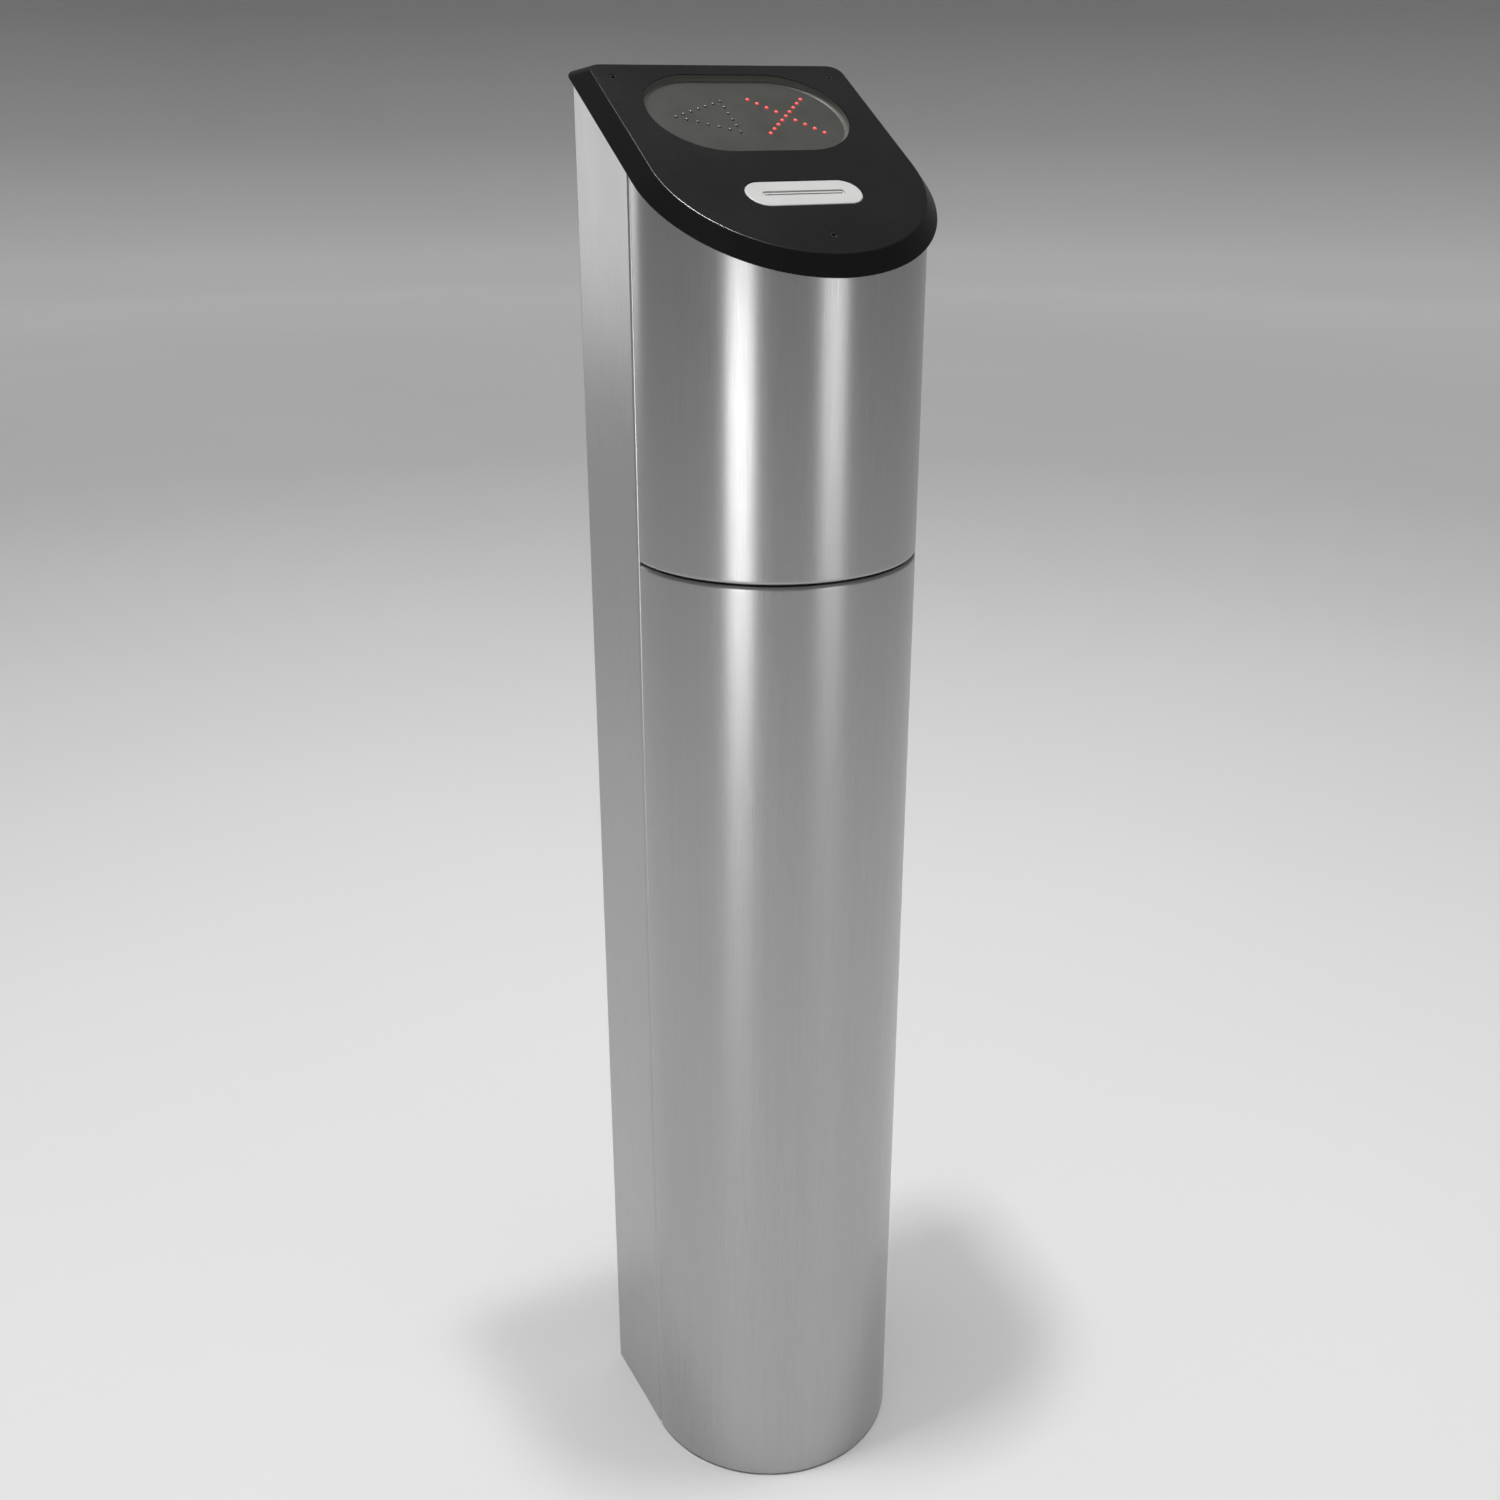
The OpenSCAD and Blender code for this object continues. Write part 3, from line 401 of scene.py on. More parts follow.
def housingSheet():
    w = sheetWork
    fold, thick = w["fold"], w["sheet"]
    front, back = housingLow.y, housingHigh.y
    inner = bodyRadius - fold
    edge = bodyRadius - w["flange"]
    flangeEnd = w["flangeBroken"] - inner
    path = [(Vector((x, front)), forward, "flange") for x in (-edge, flangeEnd)]
    path += [(p, d, "wall") for p, d in arc(-inner, front + fold, fold, 270, 180, w["foldSteps"])]
    # stations just past each fold keep the flat sheet's shading flat
    sides = (front + fold + w["station"], back - fold - w["station"])
    path += [(Vector((-bodyRadius, y)), leftward, "wall") for y in sides]
    path += [(p, d, "wall") for p, d in arc(-inner, back - fold, fold, 180, 90, w["foldSteps"])]
    path += [(Vector((w["station"] - inner, back)), rearward, "wall")]
    path += mirrored(path)
    sections, runs, run = [], [], 0
    for k, (place, out, kind) in enumerate(path):
        run += (place - path[k - 1][0]).length if k else 0
        drop = w["flangeDrop"] if kind == "flange" else w["topGap"]
        deep = place - out * thick
        placeTop, deepTop = slopeHeight(place.y, drop), slopeHeight(deep.y, drop)
        sections.append([Vector((place.x, place.y, 0)), Vector((place.x, place.y, placeTop)),
                         Vector((deep.x, deep.y, deepTop)), Vector((deep.x, deep.y, 0))])
        runs.append(run)
    points, faces, uvs = sweptShell(sections, runs)
    meshPiece("housingSheet", points, faces, "post", "brushed_stainless", ["rear_housing"], uvs)


def seamShapes():
    # depth into the wall and distance from the seam edge: with a lip on the round wall, without it
    # on the folds and flanges; both have as many points
    w = sheetWork
    fold, thick, lip, steps = w["fold"], w["sheet"], w["lip"], w["bendSteps"]
    small, broken, ease = fold - thick, w["broken"], w["lipStation"]
    bends = [math.radians(90 * k / steps) for k in range(steps + 1)]
    lipped = [(0, fold + ease)]
    lipped += [(fold - fold * math.cos(b), fold - fold * math.sin(b)) for b in bends]
    lipped += [(lip - broken, 0), (lip, broken), (lip, thick - broken), (lip - broken, thick)]
    lipped += [(fold - small * math.cos(b), fold - small * math.sin(b)) for b in reversed(bends)]
    lipped += [(thick, fold + ease)]
    tiny = w["flangeBroken"]
    plain = [(0, fold + ease)] + [(0, fold * (steps - j) / steps) for j in range(steps)] + [(tiny, 0)]
    plain += [(thick - tiny, 0), (thick, tiny), (thick, 2 * tiny), (thick, 3 * tiny)]
    plain += [(thick, ease + (fold - ease) * (j + 1) / (steps + 1)) for j in range(steps + 1)]
    plain += [(thick, fold + ease)]
    return lipped, plain


def coverSheet(name, body, node, bottom, top, lipAt):
    w = sheetWork
    fold, thick, back = w["fold"], w["sheet"], w["coverBack"]
    inner = bodyRadius - fold
    edge = bodyRadius - w["flange"]
    side = [(Vector((x, back)), rearward, "flange") for x in (-edge, w["flangeBroken"] - inner)]
    side += [(p, d, "fold") for p, d in arc(-inner, back - fold, fold, 90, 178, w["foldSteps"])]
    path = side + [(p, d, "wall") for p, d in arc(0, 0, bodyRadius, 180, 360, w["turns"])] + mirrored(side)
    lipped, plain = seamShapes()
    sections, runs, run = [], [], 0
    for k, (place, out, kind) in enumerate(path):
        run += (place - path[k - 1][0]).length if k else 0
        drop = w["flangeDrop"] if kind == "flange" else w["topGap"]
        section = []
        # no distance stands for the far end of the sheet
        for depth, rise in [(0, None)] + (lipped if kind == "wall" else plain) + [(thick, None)]:
            flat = place - out * depth
            if rise is None:
                height = bottom if lipAt == "top" else slopeHeight(flat.y, drop)
            else:
                height = top - rise if lipAt == "top" else bottom + rise
            section.append(Vector((flat.x, flat.y, height)))
        sections.append(section)
        runs.append(run)
    points, faces, uvs = sweptShell(sections, runs)
    meshPiece(name, points, faces, body, "brushed_stainless", [node], uvs)


housingSheet()
coverSheet("lowerCover", "lower_cover", "lower_front_cover", lowerLow.z, lowerHigh.z, "top")
coverSheet("upperCover", "post", "upper_front_cover", upperLow.z, upperHigh.z, "bottom")
print("sheet steel made")


# Outlines on the slope, as equal rings of points

def bow(centreU, centreV, radius, start, end, steps):
    return [tuple(place) for place, out in arc(centreU, centreV, radius, start, end, steps)]


def capRing(inset, height, corner):
    half, back = capRadius - inset, capBack - inset
    flat = bow(0, capCentre, half, 180, 360, 96)
    for side, start in ((1, 0), (-1, 90)):
        flat += bow(side * (half - corner), back - corner, corner, start, start + 90, 8)
    return [onSlope(u, v, height) for u, v in flat]


def pillRing(centre, width, tall, inset, height, steps):
    radius, straight = tall / 2 - inset, (width - tall) / 2
    flat = bow(centre[0] + straight, centre[1], radius, -90, 90, steps)
    flat += bow(centre[0] - straight, centre[1], radius, 90, 270, steps)
    return [onSlope(u, v, height) for u, v in flat]


def roundRing(centre, radius, height):
    return [onSlope(u, v, height) for u, v in bow(*centre, radius, 0, 360, 24)[:-1]]


class RingSolid:
    # a closed solid from rings of points joined by walls and flat faces with holes

    def __init__(self):
        self.work = bmesh.new()

    def wall(self, *rings):
        made = [[self.work.verts.new(place) for place in ring] for ring in rings]
        for low, high in zip(made, made[1:]):
            for k in range(len(low)):
                after = (k + 1) % len(low)
                self.work.faces.new((low[k], low[after], high[after], high[k]))
        return made[0], made[-1]

    def cover(self, *loops):
        edges = []
        for loop in loops:
            for k, vertex in enumerate(loop):
                other = loop[(k + 1) % len(loop)]
                edges.append(self.work.edges.get((vertex, other)) or self.work.edges.new((vertex, other)))
        if len(loops) == 1:
            self.work.faces.new(loops[0])
        else:
            bmesh.ops.triangle_fill(self.work, use_beauty=True, edges=edges)

    def finish(self, name, body, slotName, stands, smooth):
        bmesh.ops.recalc_face_normals(self.work, faces=self.work.faces)
        mesh = bpy.data.meshes.new(name)
        self.work.to_mesh(mesh)
        self.work.free()
        placePiece(name, mesh, body, slotName, stands, smooth)


# Black cap

cap = {"rim": 0.014, "ceiling": 0.007, "edge": 0.0007, "broken": 0.0003, "corner": 0.0105, "topCorner": 0.0095,
       "pocketCorner": 0.004, "window": (0.1435, 0.090), "windowBroken": 0.0001, "pill": (0.0818, 0.026),
       "hole": 0.0016, "head": 0.0031, "headDepth": 0.0016, "boss": 0.006, "bossLow": -0.0017, "filletSteps": 5,
       "lipTop": 0.00695}


def middleOf(low, high):
    return [(a + b) / 2 for a, b in zip(low[:2], high[:2])]


windowLow, windowHigh = slopeBox("display_window")
windowCentre = middleOf(windowLow, windowHigh)
bezelLow, bezelHigh = slopeBox("card_slot_bezel")
pillCentre = middleOf(bezelLow, bezelHigh)


def solidBoxes(node, laid=False):
    # lowest and highest corner of each separate solid of a node; laid gives them as u, v and n
    work = bmesh.new()
    work.from_mesh(cadNodes[node].data)
    bmesh.ops.remove_doubles(work, verts=work.verts, dist=0.000002)
    waiting, boxes = set(work.verts), []
    while waiting:
        reach, points = [waiting.pop()], []
        while reach:
            vertex = reach.pop()
            x, y, z = vertex.co
            points.append(laidDown(x, y, z) if laid else (x, y, z))
            for edge in vertex.link_edges:
                other = edge.other_vert(vertex)
                if other in waiting:
                    waiting.remove(other)
                    reach.append(other)
        boxes.append(tuple(Vector([pick(axis) for axis in zip(*points)]) for pick in (min, max)))
    work.free()
    return sorted(boxes, key=lambda box: tuple(round(c, 5) for c in box[0]))


capScrewSpots = [middleOf(low, high) for low, high in solidBoxes("cap_screws", True)]


def capShell():
    c, t = cap, capThickness
    rim, ceiling, bend, broken = c["rim"], c["ceiling"], c["edge"], c["broken"]
    inside, low, high = c["pocketCorner"], c["corner"], c["topCorner"]
    rise = bend * math.sqrt(0.5)
    # inset, height and corner; the rings at 0.4 and 0.5 mm from a bend keep flat faces flat in shade
    profile = [(rim, ceiling, inside), (rim, broken, inside), (rim - broken, 0, inside), (broken, 0, low),
               (0, broken, low), (0.0004, broken + 0.0004, low), (t - rise - 0.0005, t - rise - 0.0005, high)]
    # fillet between the 45 degree chamfer and the top face
    start, end = Vector((t - rise, t - rise)), Vector((t + bend, t))
    for k in range(c["filletSteps"] + 1):
        share = k / c["filletSteps"]
        point = start * (1 - share) ** 2 + Vector((t, t)) * 2 * share * (1 - share) + end * share ** 2
        profile.append((point.x, point.y, high))
    profile.append((t + bend + 0.0004, t, high))
    solid = RingSolid()
    pocket, top = solid.wall(*[capRing(*row) for row in profile])
    columns = []
    openings = ((windowCentre, c["window"], 40, c["windowBroken"]), (pillCentre, c["pill"], 28, broken))
    for centre, size, steps, edge in openings:
        rows = ((-edge, t), (0, t - edge), (0, ceiling))
        columns.append([pillRing(centre, *size, inset, height, steps) for inset, height in rows])
    for spot in capScrewSpots:
        rows = ((c["head"], t), (c["hole"], t - c["headDepth"]), (c["hole"], c["bossLow"]),
                (c["boss"], c["bossLow"]), (c["boss"], ceiling))
        columns.append([roundRing(spot, radius, height) for radius, height in rows])
    holes = [solid.wall(*rings) for rings in columns]
    solid.cover(top, *[upper for upper, lower in holes])
    solid.cover(pocket, *[lower for upper, lower in holes])
    solid.finish("capShell", "cap", "black_cap", ["top_cover"], 30)


capShell()


# Sunk window of the display

tray = {"wall": 0.0007, "lip": 0.004, "gap": 0.0001, "floor": windowLook["floorThickness"], "cove": 0.0026,
        "broken": 0.0002, "station": 0.0004}


def windowTray():
    r, size = tray, cap["window"]
    low, top, lipTop = windowLow[2], windowHigh[2], cap["lipTop"]
    gap, cove, broken, floor = r["gap"], r["cove"], r["broken"], low + r["floor"]
    inner = gap + r["wall"]
    rows = [(-r["lip"], low), (-r["lip"], lipTop), (gap, lipTop), (gap, top - broken), (gap + broken, top),
            (inner - broken, top), (inner, top - broken), (inner, floor + cove)]
    for k in range(1, 6):
        a = math.radians(18 * k)
        rows.append((inner + cove - cove * math.cos(a), floor + cove - cove * math.sin(a)))
    rows.append((inner + cove + r["station"], floor))
    solid = RingSolid()
    under, pane = solid.wall(*[pillRing(windowCentre, *size, inset, height, 40) for inset, height in rows])
    solid.cover(under)
    solid.cover(pane)
    solid.finish("windowTray", "cap", "smoked_window", ["display_window"], 34)
    return floor


windowFloor = windowTray()


# Pale bezel round the card slot

bezel = {"gap": 0.0001, "flange": 0.003, "round": 0.0011, "mouth": (0.0578, 0.0044), "soft": 0.0006, "depth": 0.0009,
         "throat": (0.0552, 0.0012), "thin": 0.0017, "pocket": (0.0582, 0.0092), "station": 0.0003, "step": 0.0001}


def bezelPiece():
    b, size, t = bezel, cap["pill"], capThickness
    low, lipTop = bezelLow[2], cap["lipTop"]
    gap, soft, shoulder, station, step = b["gap"], b["soft"], b["round"], b["station"], b["step"]
    rows = [(-b["flange"], low), (-b["flange"], lipTop), (gap, lipTop)]
    for k in range(7):
        a = math.radians(15 * k)
        rows.append((gap + shoulder * (1 - math.cos(a)), t - shoulder * (1 - math.sin(a))))
    rows.append((gap + shoulder + station, t))
    solid = RingSolid()
    under, top = solid.wall(*[pillRing(pillCentre, *size, inset, height, 28) for inset, height in rows])
    rows = [(b["mouth"], -soft - station, t)]
    for k in range(5):
        a = math.radians(22.5 * k)
        rows.append((b["mouth"], -soft * (1 - math.sin(a)), t - soft * (1 - math.cos(a))))
    floor = t - b["depth"]
    ceiling = floor - b["thin"]
    rows += [(b["mouth"], 0, floor), (b["throat"], 0, floor - step), (b["throat"], 0, ceiling),
             (b["pocket"], 0, ceiling - step), (b["pocket"], 0, low)]
    mouth, pocket = solid.wall(*[pillRing(pillCentre, *shape, inset, height, 16) for shape, inset, height in rows])
    solid.cover(top, mouth)
    solid.cover(under, pocket)
    solid.finish("slotBezel", "cap", "pale_plastic", ["card_slot_bezel"], 34)


bezelPiece()
print("cap, window and bezel made")


# Geometry Nodes: one tree for each pattern, settled into a plain mesh

def startTree(name, inputs):
    tree = bpy.data.node_groups.new(name, "GeometryNodeTree")
    tree.interface.new_socket("Geometry", in_out="INPUT", socket_type="NodeSocketGeometry")
    for label, kind in inputs:
        tree.interface.new_socket(label, in_out="INPUT", socket_type="NodeSocket" + kind)
    tree.interface.new_socket("Geometry", in_out="OUTPUT", socket_type="NodeSocketGeometry")
    return tree, tree.nodes.new("NodeGroupInput"), tree.nodes.new("NodeGroupOutput")


def joinUp(tree, *pairs):
    for source, target in pairs:
        tree.links.new(source, target)


def stepVector(tree, x, y, z=0.0):
    node = tree.nodes.new("ShaderNodeCombineXYZ")
    for index, item in enumerate((x, y, z)):
        feed(tree, node.inputs[index], item)
    return node.outputs[0]


def addRow(tree, count, start, stop):
    # a straight row of points from one place to another
    row = tree.nodes.new("GeometryNodeMeshLine")
    row.mode = "END_POINTS"
    row.count_mode = "TOTAL"
    joinUp(tree, (count, row.inputs["Count"]), (start, row.inputs["Start Location"]), (stop, row.inputs["Offset"]))
    return row.outputs["Mesh"]


def finishRows(tree, given, result, rows):
    # one dome on each point, laid on the slope, then made real
    gather = tree.nodes.new("GeometryNodeJoinGeometry")
    for row in rows:
        tree.links.new(row, gather.inputs[0])
    merge = tree.nodes.new("GeometryNodeMergeByDistance")
    merge.inputs["Distance"].default_value = lamps["merge"]
    item = tree.nodes.new("GeometryNodeObjectInfo")
    spread = tree.nodes.new("GeometryNodeInstanceOnPoints")
    lay = tree.nodes.new("GeometryNodeTransform")
    real = tree.nodes.new("GeometryNodeRealizeInstances")
    paint = tree.nodes.new("GeometryNodeSetMaterial")
    joinUp(tree, (gather.outputs[0], merge.inputs["Geometry"]), (merge.outputs[0], spread.inputs["Points"]),
           (given.outputs["Dome"], item.inputs["Object"]), (item.outputs["Geometry"], spread.inputs["Instance"]),
           (spread.outputs[0], lay.inputs["Geometry"]), (given.outputs["Centre"], lay.inputs["Translation"]),
           (stepVector(tree, given.outputs["Slope"], 0.0), lay.inputs["Rotation"]), (lay.outputs[0], real.inputs[0]),
           (real.outputs[0], paint.inputs["Geometry"]), (given.outputs["Finish"], paint.inputs["Material"]),
           (paint.outputs[0], result.inputs["Geometry"]))


sharedInputs = [("Dome", "Object"), ("Centre", "Vector"), ("Slope", "Float"), ("Finish", "Material")]


def crossTree():
    tree, given, result = startTree("stopCrossRows", [("Reach", "Float"), ("Lights Per Row", "Int"), *sharedInputs])
    reach, count = given.outputs["Reach"], given.outputs["Lights Per Row"]
    back = addMath(tree, "MULTIPLY", reach, -1.0)
    rows = [addRow(tree, count, stepVector(tree, back, back), stepVector(tree, reach, reach)),
            addRow(tree, count, stepVector(tree, back, reach), stepVector(tree, reach, back))]
    finishRows(tree, given, result, rows)
    return tree


def arrowTree():
    tree, given, result = startTree("passArrowRows", [
        ("Length", "Float"), ("Half Height", "Float"), ("Base Lights", "Int"), ("Side Lights", "Int"), *sharedInputs])
    length, half = given.outputs["Length"], given.outputs["Half Height"]
    down = addMath(tree, "MULTIPLY", half, -1.0)
    tip = stepVector(tree, 0.0, 0.0)
    upper, lower = stepVector(tree, length, half), stepVector(tree, length, down)
    baseCount, sideCount = given.outputs["Base Lights"], given.outputs["Side Lights"]
    ends = ((baseCount, lower, upper), (sideCount, tip, upper), (sideCount, tip, lower))
    rows = [addRow(tree, *row) for row in ends]
    finishRows(tree, given, result, rows)
    return tree


def scatterTree():
    # puts an item on every point of the carrier, each turned about its own axis
    tree, given, result = startTree("fixingsOnPoints", [
        ("Item", "Object"), ("Facing", "Vector"), ("Turn Spread", "Float"), ("Seed", "Int"), ("Finish", "Material")])
    item = tree.nodes.new("GeometryNodeObjectInfo")
    spread = tree.nodes.new("GeometryNodeInstanceOnPoints")
    chance = tree.nodes.new("FunctionNodeRandomValue")
    spin = tree.nodes.new("GeometryNodeRotateInstances")
    real = tree.nodes.new("GeometryNodeRealizeInstances")
    paint = tree.nodes.new("GeometryNodeSetMaterial")
    amount = next(s for s in chance.inputs if s.name == "Max" and s.type == "VALUE")
    turned = next(s for s in chance.outputs if s.type == "VALUE")
    joinUp(tree, (given.outputs["Geometry"], spread.inputs["Points"]), (given.outputs["Item"], item.inputs["Object"]),
           (item.outputs["Geometry"], spread.inputs["Instance"]), (given.outputs["Facing"], spread.inputs["Rotation"]),
           (given.outputs["Turn Spread"], amount), (given.outputs["Seed"], chance.inputs["Seed"]),
           (spread.outputs[0], spin.inputs["Instances"]), (stepVector(tree, 0.0, 0.0, turned), spin.inputs["Rotation"]),
           (spin.outputs[0], real.inputs[0]), (real.outputs[0], paint.inputs["Geometry"]),
           (given.outputs["Finish"], paint.inputs["Material"]), (paint.outputs[0], result.inputs["Geometry"]))
    return tree


def settle(tree, values, name, body, slotName, stands, spots=(), smooth=32):
    carrier = bpy.data.objects.new(name + "Carrier", bpy.data.meshes.new(name + "Carrier"))
    carrier.data.from_pydata([tuple(spot) for spot in spots], [], [])
    bpy.context.scene.collection.objects.link(carrier)
    modifier = carrier.modifiers.new("rows", "NODES")
    modifier.node_group = tree
    for socket in tree.interface.items_tree:
        if socket.in_out == "INPUT" and socket.name in values:
            modifier[socket.identifier] = values[socket.name]
    bpy.context.view_layer.update()
    ready = carrier.evaluated_get(bpy.context.evaluated_depsgraph_get())
    mesh = bpy.data.meshes.new_from_object(ready)
    mesh.name = name
    bpy.data.objects.remove(carrier)
    placePiece(name, mesh, body, slotName, stands, smooth)


def turnedItem(name, profile, steps=24, ringShaped=False):
    # rings of (radius, height) about Z; a third value makes a ring six-sided
    work = bmesh.new()
    rings = []
    for radius, height, *six in profile:
        ring = []
        for k in range(steps):
            angle = 2 * math.pi * k / steps
            reach = radius / math.cos((angle + math.pi / 6) % (math.pi / 3) - math.pi / 6) if six else radius
            ring.append(work.verts.new((reach * math.cos(angle), reach * math.sin(angle), height)))
        rings.append(ring)
    for low, high in zip(rings, rings[1:] + rings[:1] * ringShaped):
        for k in range(steps):
            after = (k + 1) % steps
            work.faces.new((low[k], low[after], high[after], high[k]))
    if not ringShaped:
        work.faces.new(rings[0])
        work.faces.new(rings[-1])
    bmesh.ops.recalc_face_normals(work, faces=work.faces)
    mesh = bpy.data.meshes.new(name)
    work.to_mesh(mesh)
    work.free()
    item = bpy.data.objects.new(name, mesh)
    bpy.context.scene.collection.objects.link(item)
    patternItems.append(item)
    return item


patternItems = []
fixings = scatterTree()

# Lights of the stop cross and the pass arrow; a node's lights have a foot wider than their dome
lamps = {"radius": 0.0014, "rise": 0.0010, "under": 0.0020, "foot": 0.0018, "cross": 9, "arrowBase": 6,
         "arrowSide": 7, "merge": 0.0004}


def displayLights():
    r, rise, edge = lamps["radius"], lamps["rise"], lamps["foot"]
    dome = [(r - 0.0001, -lamps["under"])]
    dome += [(r * math.cos(math.radians(a)), rise * math.sin(math.radians(a))) for a in (0, 20, 40, 58, 74)]
    item = turnedItem("lightDome", dome, 14)
    low, high = slopeBox("stop_cross_lights")
    cross = {"Reach": (high[0] - low[0]) / 2 - edge, "Lights Per Row": lamps["cross"],
             "Centre": onSlope(*middleOf(low, high), windowFloor), "Finish": finishes["red_light"]}
    settle(crossTree(), {**cross, "Dome": item, "Slope": slope}, "stopCrossLights", "cap", "red_light",
           ["stop_cross_lights"], smooth=60)
    low, high = slopeBox("pass_arrow_lights")
    arrow = {"Length": high[0] - low[0] - 2 * edge, "Half Height": (high[1] - low[1]) / 2 - edge,
             "Base Lights": lamps["arrowBase"], "Side Lights": lamps["arrowSide"],
             "Centre": onSlope(low[0] + edge, middleOf(low, high)[1], windowFloor), "Finish": finishes["unlit_light"]}
    settle(arrowTree(), {**arrow, "Dome": item, "Slope": slope}, "passArrowLights", "cap", "unlit_light",
           ["pass_arrow_lights"], smooth=60)


displayLights()
print("display lights made")


# Screws, studs and grommets, on the places of their nodes

facingFront = (math.pi / 2, 0, 0)
nutAndHead = [(0.0020, -0.0070), (0.0031, -0.0070, 6), (0.0031, -0.0040, 6), (0.0020, -0.0040), (0.0020, 0),
              (0.0034, 0), (0.0036, 0.0003), (0.0036, 0.0011), (0.0031, 0.0018), (0.0021, 0.0022),
              (0.0013, 0.0022, 6), (0.0012, 0.0009, 6)]
fixingItems = {
    "cap_screws": {"slot": "black_screw", "facing": (slope, 0, 0), "profile": [
        (0.0012, -0.0218), (0.0015, -0.0214), (0.0015, -0.0015), (0.0028, -0.0001), (0.0027, 0), (0.0014, 0),
        (0.0011, -0.0002, 6), (0.0011, -0.0013, 6)]},
    "cover_screws": {"slot": "zinc_steel", "facing": facingFront,
                     "profile": [(0.0017, -0.0100), (0.0020, -0.0097)] + nutAndHead},
    "plate_screws": {"slot": "zinc_steel", "facing": facingFront,
                     "profile": [(0.0017, -0.0090), (0.0020, -0.0087)] + nutAndHead},
    "cover_studs": {"slot": "zinc_steel", "facing": facingFront, "profile": [
        (0.0006, -0.0121), (0.0016, -0.0115), (0.0022, -0.0100), (0.0022, -0.0092), (0.0018, -0.0084),
        (0.0018, -0.0074), (0.0022, -0.0066), (0.0022, 0), (0.0038, 0), (0.0040, 0.0002), (0.0040, 0.0006),
        (0.0034, 0.0010)]},
    "stud_grommets": {"slot": "black_rubber", "facing": facingFront, "ringShaped": True, "profile": [
        (0.0023, -0.0055), (0.0042, -0.0055), (0.0045, -0.0052), (0.0045, -0.0030), (0.0051, -0.0030),
        (0.0053, -0.0028), (0.0053, -0.0017), (0.0051, -0.0015), (0.0045, -0.0015), (0.0045, 0), (0.0028, 0),
        (0.0023, -0.0005)]},
}


def camelName(node):
    first, *others = node.split("_")
    return first + "".join(word.title() for word in others)


def placeFixings():
    for seed, (node, look) in enumerate(fixingItems.items(), 3):
        item = turnedItem(node + "_item", look["profile"], 24, look.get("ringShaped", False))
        top = max(row[1] for row in look["profile"])
        laid = look["facing"] != facingFront
        spots = []
        for low, high in solidBoxes(node, laid):
            middle = (low + high) / 2
            spots.append(onSlope(middle.x, middle.y, high.z - top) if laid else (middle.x, low.y + top, middle.z))
        values = {"Item": item, "Facing": look["facing"], "Turn Spread": 6.28, "Seed": seed}
        settle(fixings, {**values, "Finish": finishes[look["slot"]]}, camelName(node), bodyOf[node], look["slot"],
               [node], spots)


placeFixings()
for item in patternItems:
    bpy.data.objects.remove(item)
print("fixings made")


# The other nodes: merged copies with their flat faces joined and their edges broken

slotOf = {part["node"]: part["material_slot"] for part in frame["record"]["subparts"]}
smallBreak = 0.0002
edgeBreaks = {"base_plate": 0.0006, "left_upright": 0.0005, "right_upright": 0.0005, "lower_crossbar": 0.0003,
              "upper_crossbar": 0.0003, "top_deck": 0.0003, "equipment_plate": 0.0003, "power_supply": 0.0004,
              "terminals": 0.0004, "controller_parts": 0.0004, "reader_motor": 0.0004, "read_head": 0.0003,
              "earth_stud": 0.0003, "floor_grommet": 0.0004, "slot_shutter": 0.00015, "drive_gear": 0.0,
              "motor_pinion": 0.0}


def dressedCopies():
    replaced = {name for piece in bpy.context.scene.objects for name in piece.get("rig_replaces", [])}
    for node in sorted(set(cadNodes) - replaced):
        work = bmesh.new()
        work.from_mesh(cadNodes[node].data)
        bmesh.ops.remove_doubles(work, verts=work.verts, dist=0.000002)
        bmesh.ops.dissolve_limit(work, angle_limit=math.radians(0.4), verts=work.verts, edges=work.edges)
        mesh = bpy.data.meshes.new(node + "Copy")
        work.to_mesh(mesh)
        work.free()
        piece = placePiece(camelName(node), mesh, bodyOf[node], slotOf[node], [node])
        width = edgeBreaks.get(node, smallBreak)
        if width:
            bevel = piece.modifiers.new("edges", "BEVEL")
            bevel.width = width
            bevel.segments = 2
            bevel.limit_method = "ANGLE"
            bevel.angle_limit = math.radians(40)
            bevel.harden_normals = True


dressedCopies()
print("inner pieces made")


# Stage, lamps and camera

stage = {"reach": 9.0, "cove": 2.5, "wall": 5.0, "steps": 96,
         "shade": ((0, 0.77), (0.17, 0.72), (0.34, 0.58), (0.52, 0.42), (1, 0.36)), "shadeTop": 3,
         "glow": ((0, 0), (0.2, 0.07), (0.45, 0.145), (0.58, 0.175), (0.72, 0.15), (0.86, 0.03), (1, 0)), "glowFrom": 4,
         "glowTo": 12}


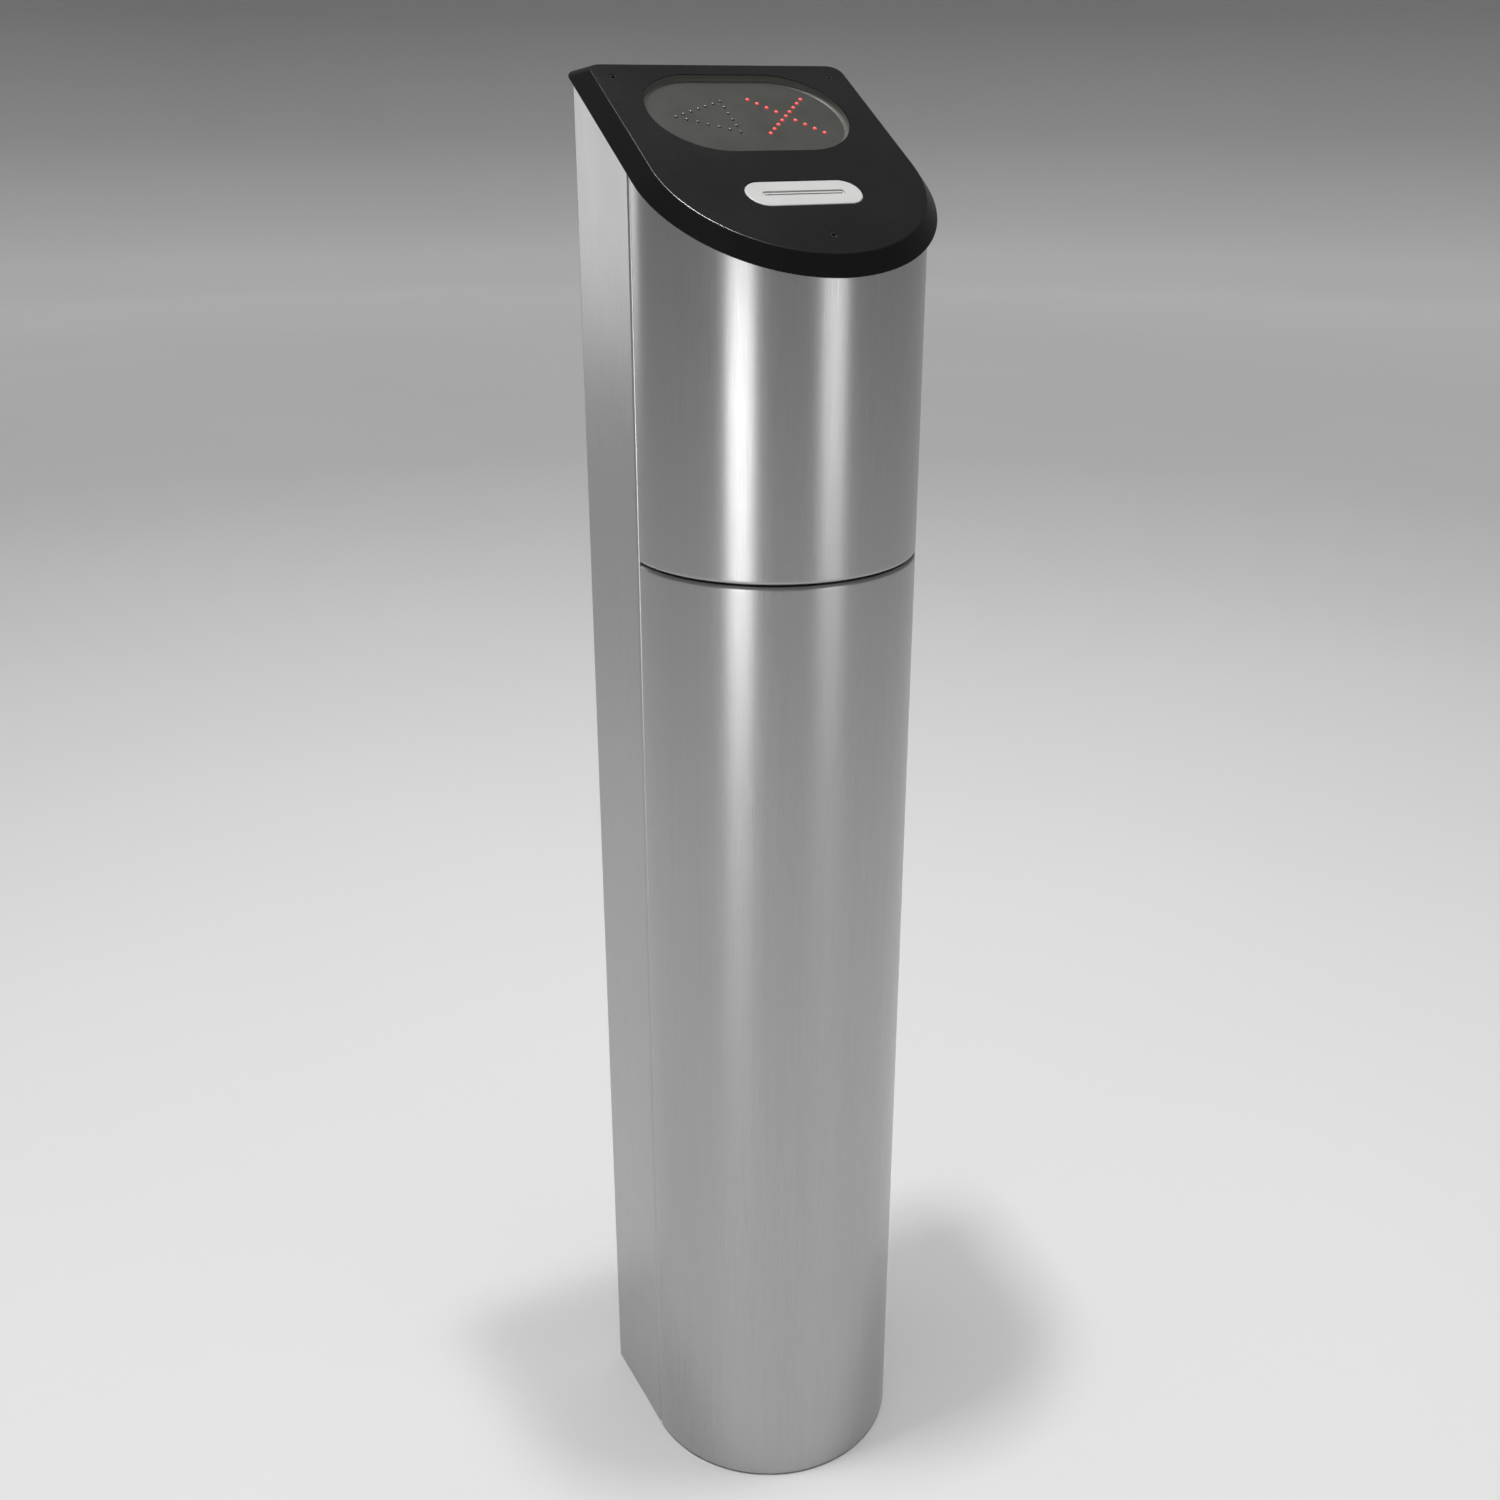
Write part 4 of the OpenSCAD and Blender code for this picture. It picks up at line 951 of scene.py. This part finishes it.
def studioFloor():
    # pale floor that curves up into a round wall; its colour is painted darker up the wall as painted shade, and
    # painted glow is added in a ring on the far floor and the cove
    reach, cove, steps = stage["reach"], stage["cove"], stage["steps"]
    profile = [(0.5, 0.0), (1.5, 0.0), (4.0, 0.0), (reach, 0.0)]
    profile += [(reach + cove + p.x, cove + p.y) for p, out in arc(-cove, 0, cove, -90, 0, 12)[1:]]
    profile.append((reach + cove, stage["wall"]))
    turns = [2 * math.pi * k / steps for k in range(steps)]
    points = [(0, 0, 0)] + [(r * math.cos(turn), r * math.sin(turn), z) for r, z in profile for turn in turns]
    faces = [(0, 1 + k, 1 + (k + 1) % steps) for k in range(steps)]
    for start in range(1, len(points) - steps, steps):
        for k in range(steps):
            after = (k + 1) % steps
            faces.append((start + k, start + steps + k, start + steps + after, start + after))
    mesh = bpy.data.meshes.new("studioFloor")
    mesh.from_pydata(points, [], faces)
    mesh.shade_smooth()
    material, tree, shader = startFinish("studioPaper", {"Roughness": 0.85, "Specular IOR Level": 0.2})
    cloud = addPattern(tree, "ShaderNodeTexNoise", 0.6, Detail=3)
    coords = tree.nodes.new("ShaderNodeTexCoord")
    split = tree.nodes.new("ShaderNodeSeparateXYZ")
    tree.links.new(coords.outputs["Object"], split.inputs["Vector"])
    paper = addShades(tree, cloud, ((0.3, grey(0.96)), (0.7, grey(1.0))))
    rise = addRange(tree, split.outputs["Z"], 0, 1, 0, stage["shadeTop"])
    # painted shade: the colour darkens with height up the wall
    climb = addShades(tree, rise, [(place, grey(value)) for place, value in stage["shade"]])
    tree.links.new(addMix(tree, 1.0, paper, climb, "MULTIPLY"), shader.inputs["Base Color"])
    apart = tree.nodes.new("ShaderNodeVectorMath")
    apart.operation = "LENGTH"
    tree.links.new(coords.outputs["Object"], apart.inputs[0])
    # painted glow: emission in a ring from 4 to 12 m out, strongest near 8.6 m
    away = addRange(tree, apart.outputs["Value"], 0, 1, stage["glowFrom"], stage["glowTo"])
    glow = addShades(tree, away, [(place, grey(value)) for place, value in stage["glow"]])
    tree.links.new(glow, shader.inputs["Emission Color"])
    shader.inputs["Emission Strength"].default_value = 1.0
    mesh.materials.append(material)
    floor = bpy.data.objects.new("studioFloor", mesh)
    bpy.context.scene.collection.objects.link(floor)


def softLamp(name, place, target, size, power, glossOnly=False):
    data = bpy.data.lights.new(name, "AREA")
    data.shape = "RECTANGLE"
    data.size, data.size_y = size
    data.energy = power
    lamp = bpy.data.objects.new(name, data)
    lamp.location = place
    lamp.rotation_euler = (Vector(target) - Vector(place)).to_track_quat("-Z", "Y").to_euler()
    lamp.visible_camera = False
    if glossOnly:
        lamp.visible_diffuse = False
    bpy.context.scene.collection.objects.link(lamp)
    return lamp


def around(azimuth, distance, height):
    # azimuth 0 is in front, 90 to the right
    a = math.radians(azimuth)
    return (distance * math.sin(a), -distance * math.cos(a), height)


def studioLamps():
    softLamp("highLeft", around(-88, 0.36, 3.6), (0, 0, 0.4), (0.22, 0.22), 46)
    softLamp("highRight", around(50, 0.22, 3.6), (0, 0, 0.4), (0.18, 0.18), 32)
    softLamp("overhead", (-0.02, 0.15, 3.4), (-0.02, 0.15, 0), (0.26, 1.5), 20, True)
    softLamp("stripLeft", around(-51, 2.0, 0.50), (0, 0, 0.50), (0.64, 0.48), 5.6, True)
    softLamp("stripRight", around(18, 2.0, 0.66), (0, 0, 0.66), (0.64, 0.56), 2.7, True)
    softLamp("glowBack", around(-153, 2.2, 1.06), (0, 0, 1.04), (0.5, 0.82), 1.9, True)
    ceiling = softLamp("ceiling", (0, 0, 8), (0, 0, 0), (12, 12), 330)
    ceiling.visible_glossy = False
    world = bpy.data.worlds.new("studioAir")
    world.use_nodes = True
    world.node_tree.nodes["Background"].inputs["Color"].default_value = (1, 1, 1, 1)
    world.node_tree.nodes["Background"].inputs["Strength"].default_value = 0.17
    bpy.context.scene.world = world
    bpy.context.scene.view_settings.view_transform = "Standard"


def placeCamera():
    data = bpy.data.cameras.new("viewer")
    data.lens, data.sensor_width = 39.03, 36
    camera = bpy.data.objects.new("viewer", data)
    camera.location = (-0.5088, -0.9856, 1.0431)
    camera.rotation_euler = (math.radians(68.08), 0, math.radians(-26.515))
    bpy.context.scene.collection.objects.link(camera)
    bpy.context.scene.camera = camera


studioFloor()
studioLamps()
placeCamera()
print("stage, lamps and camera ready")
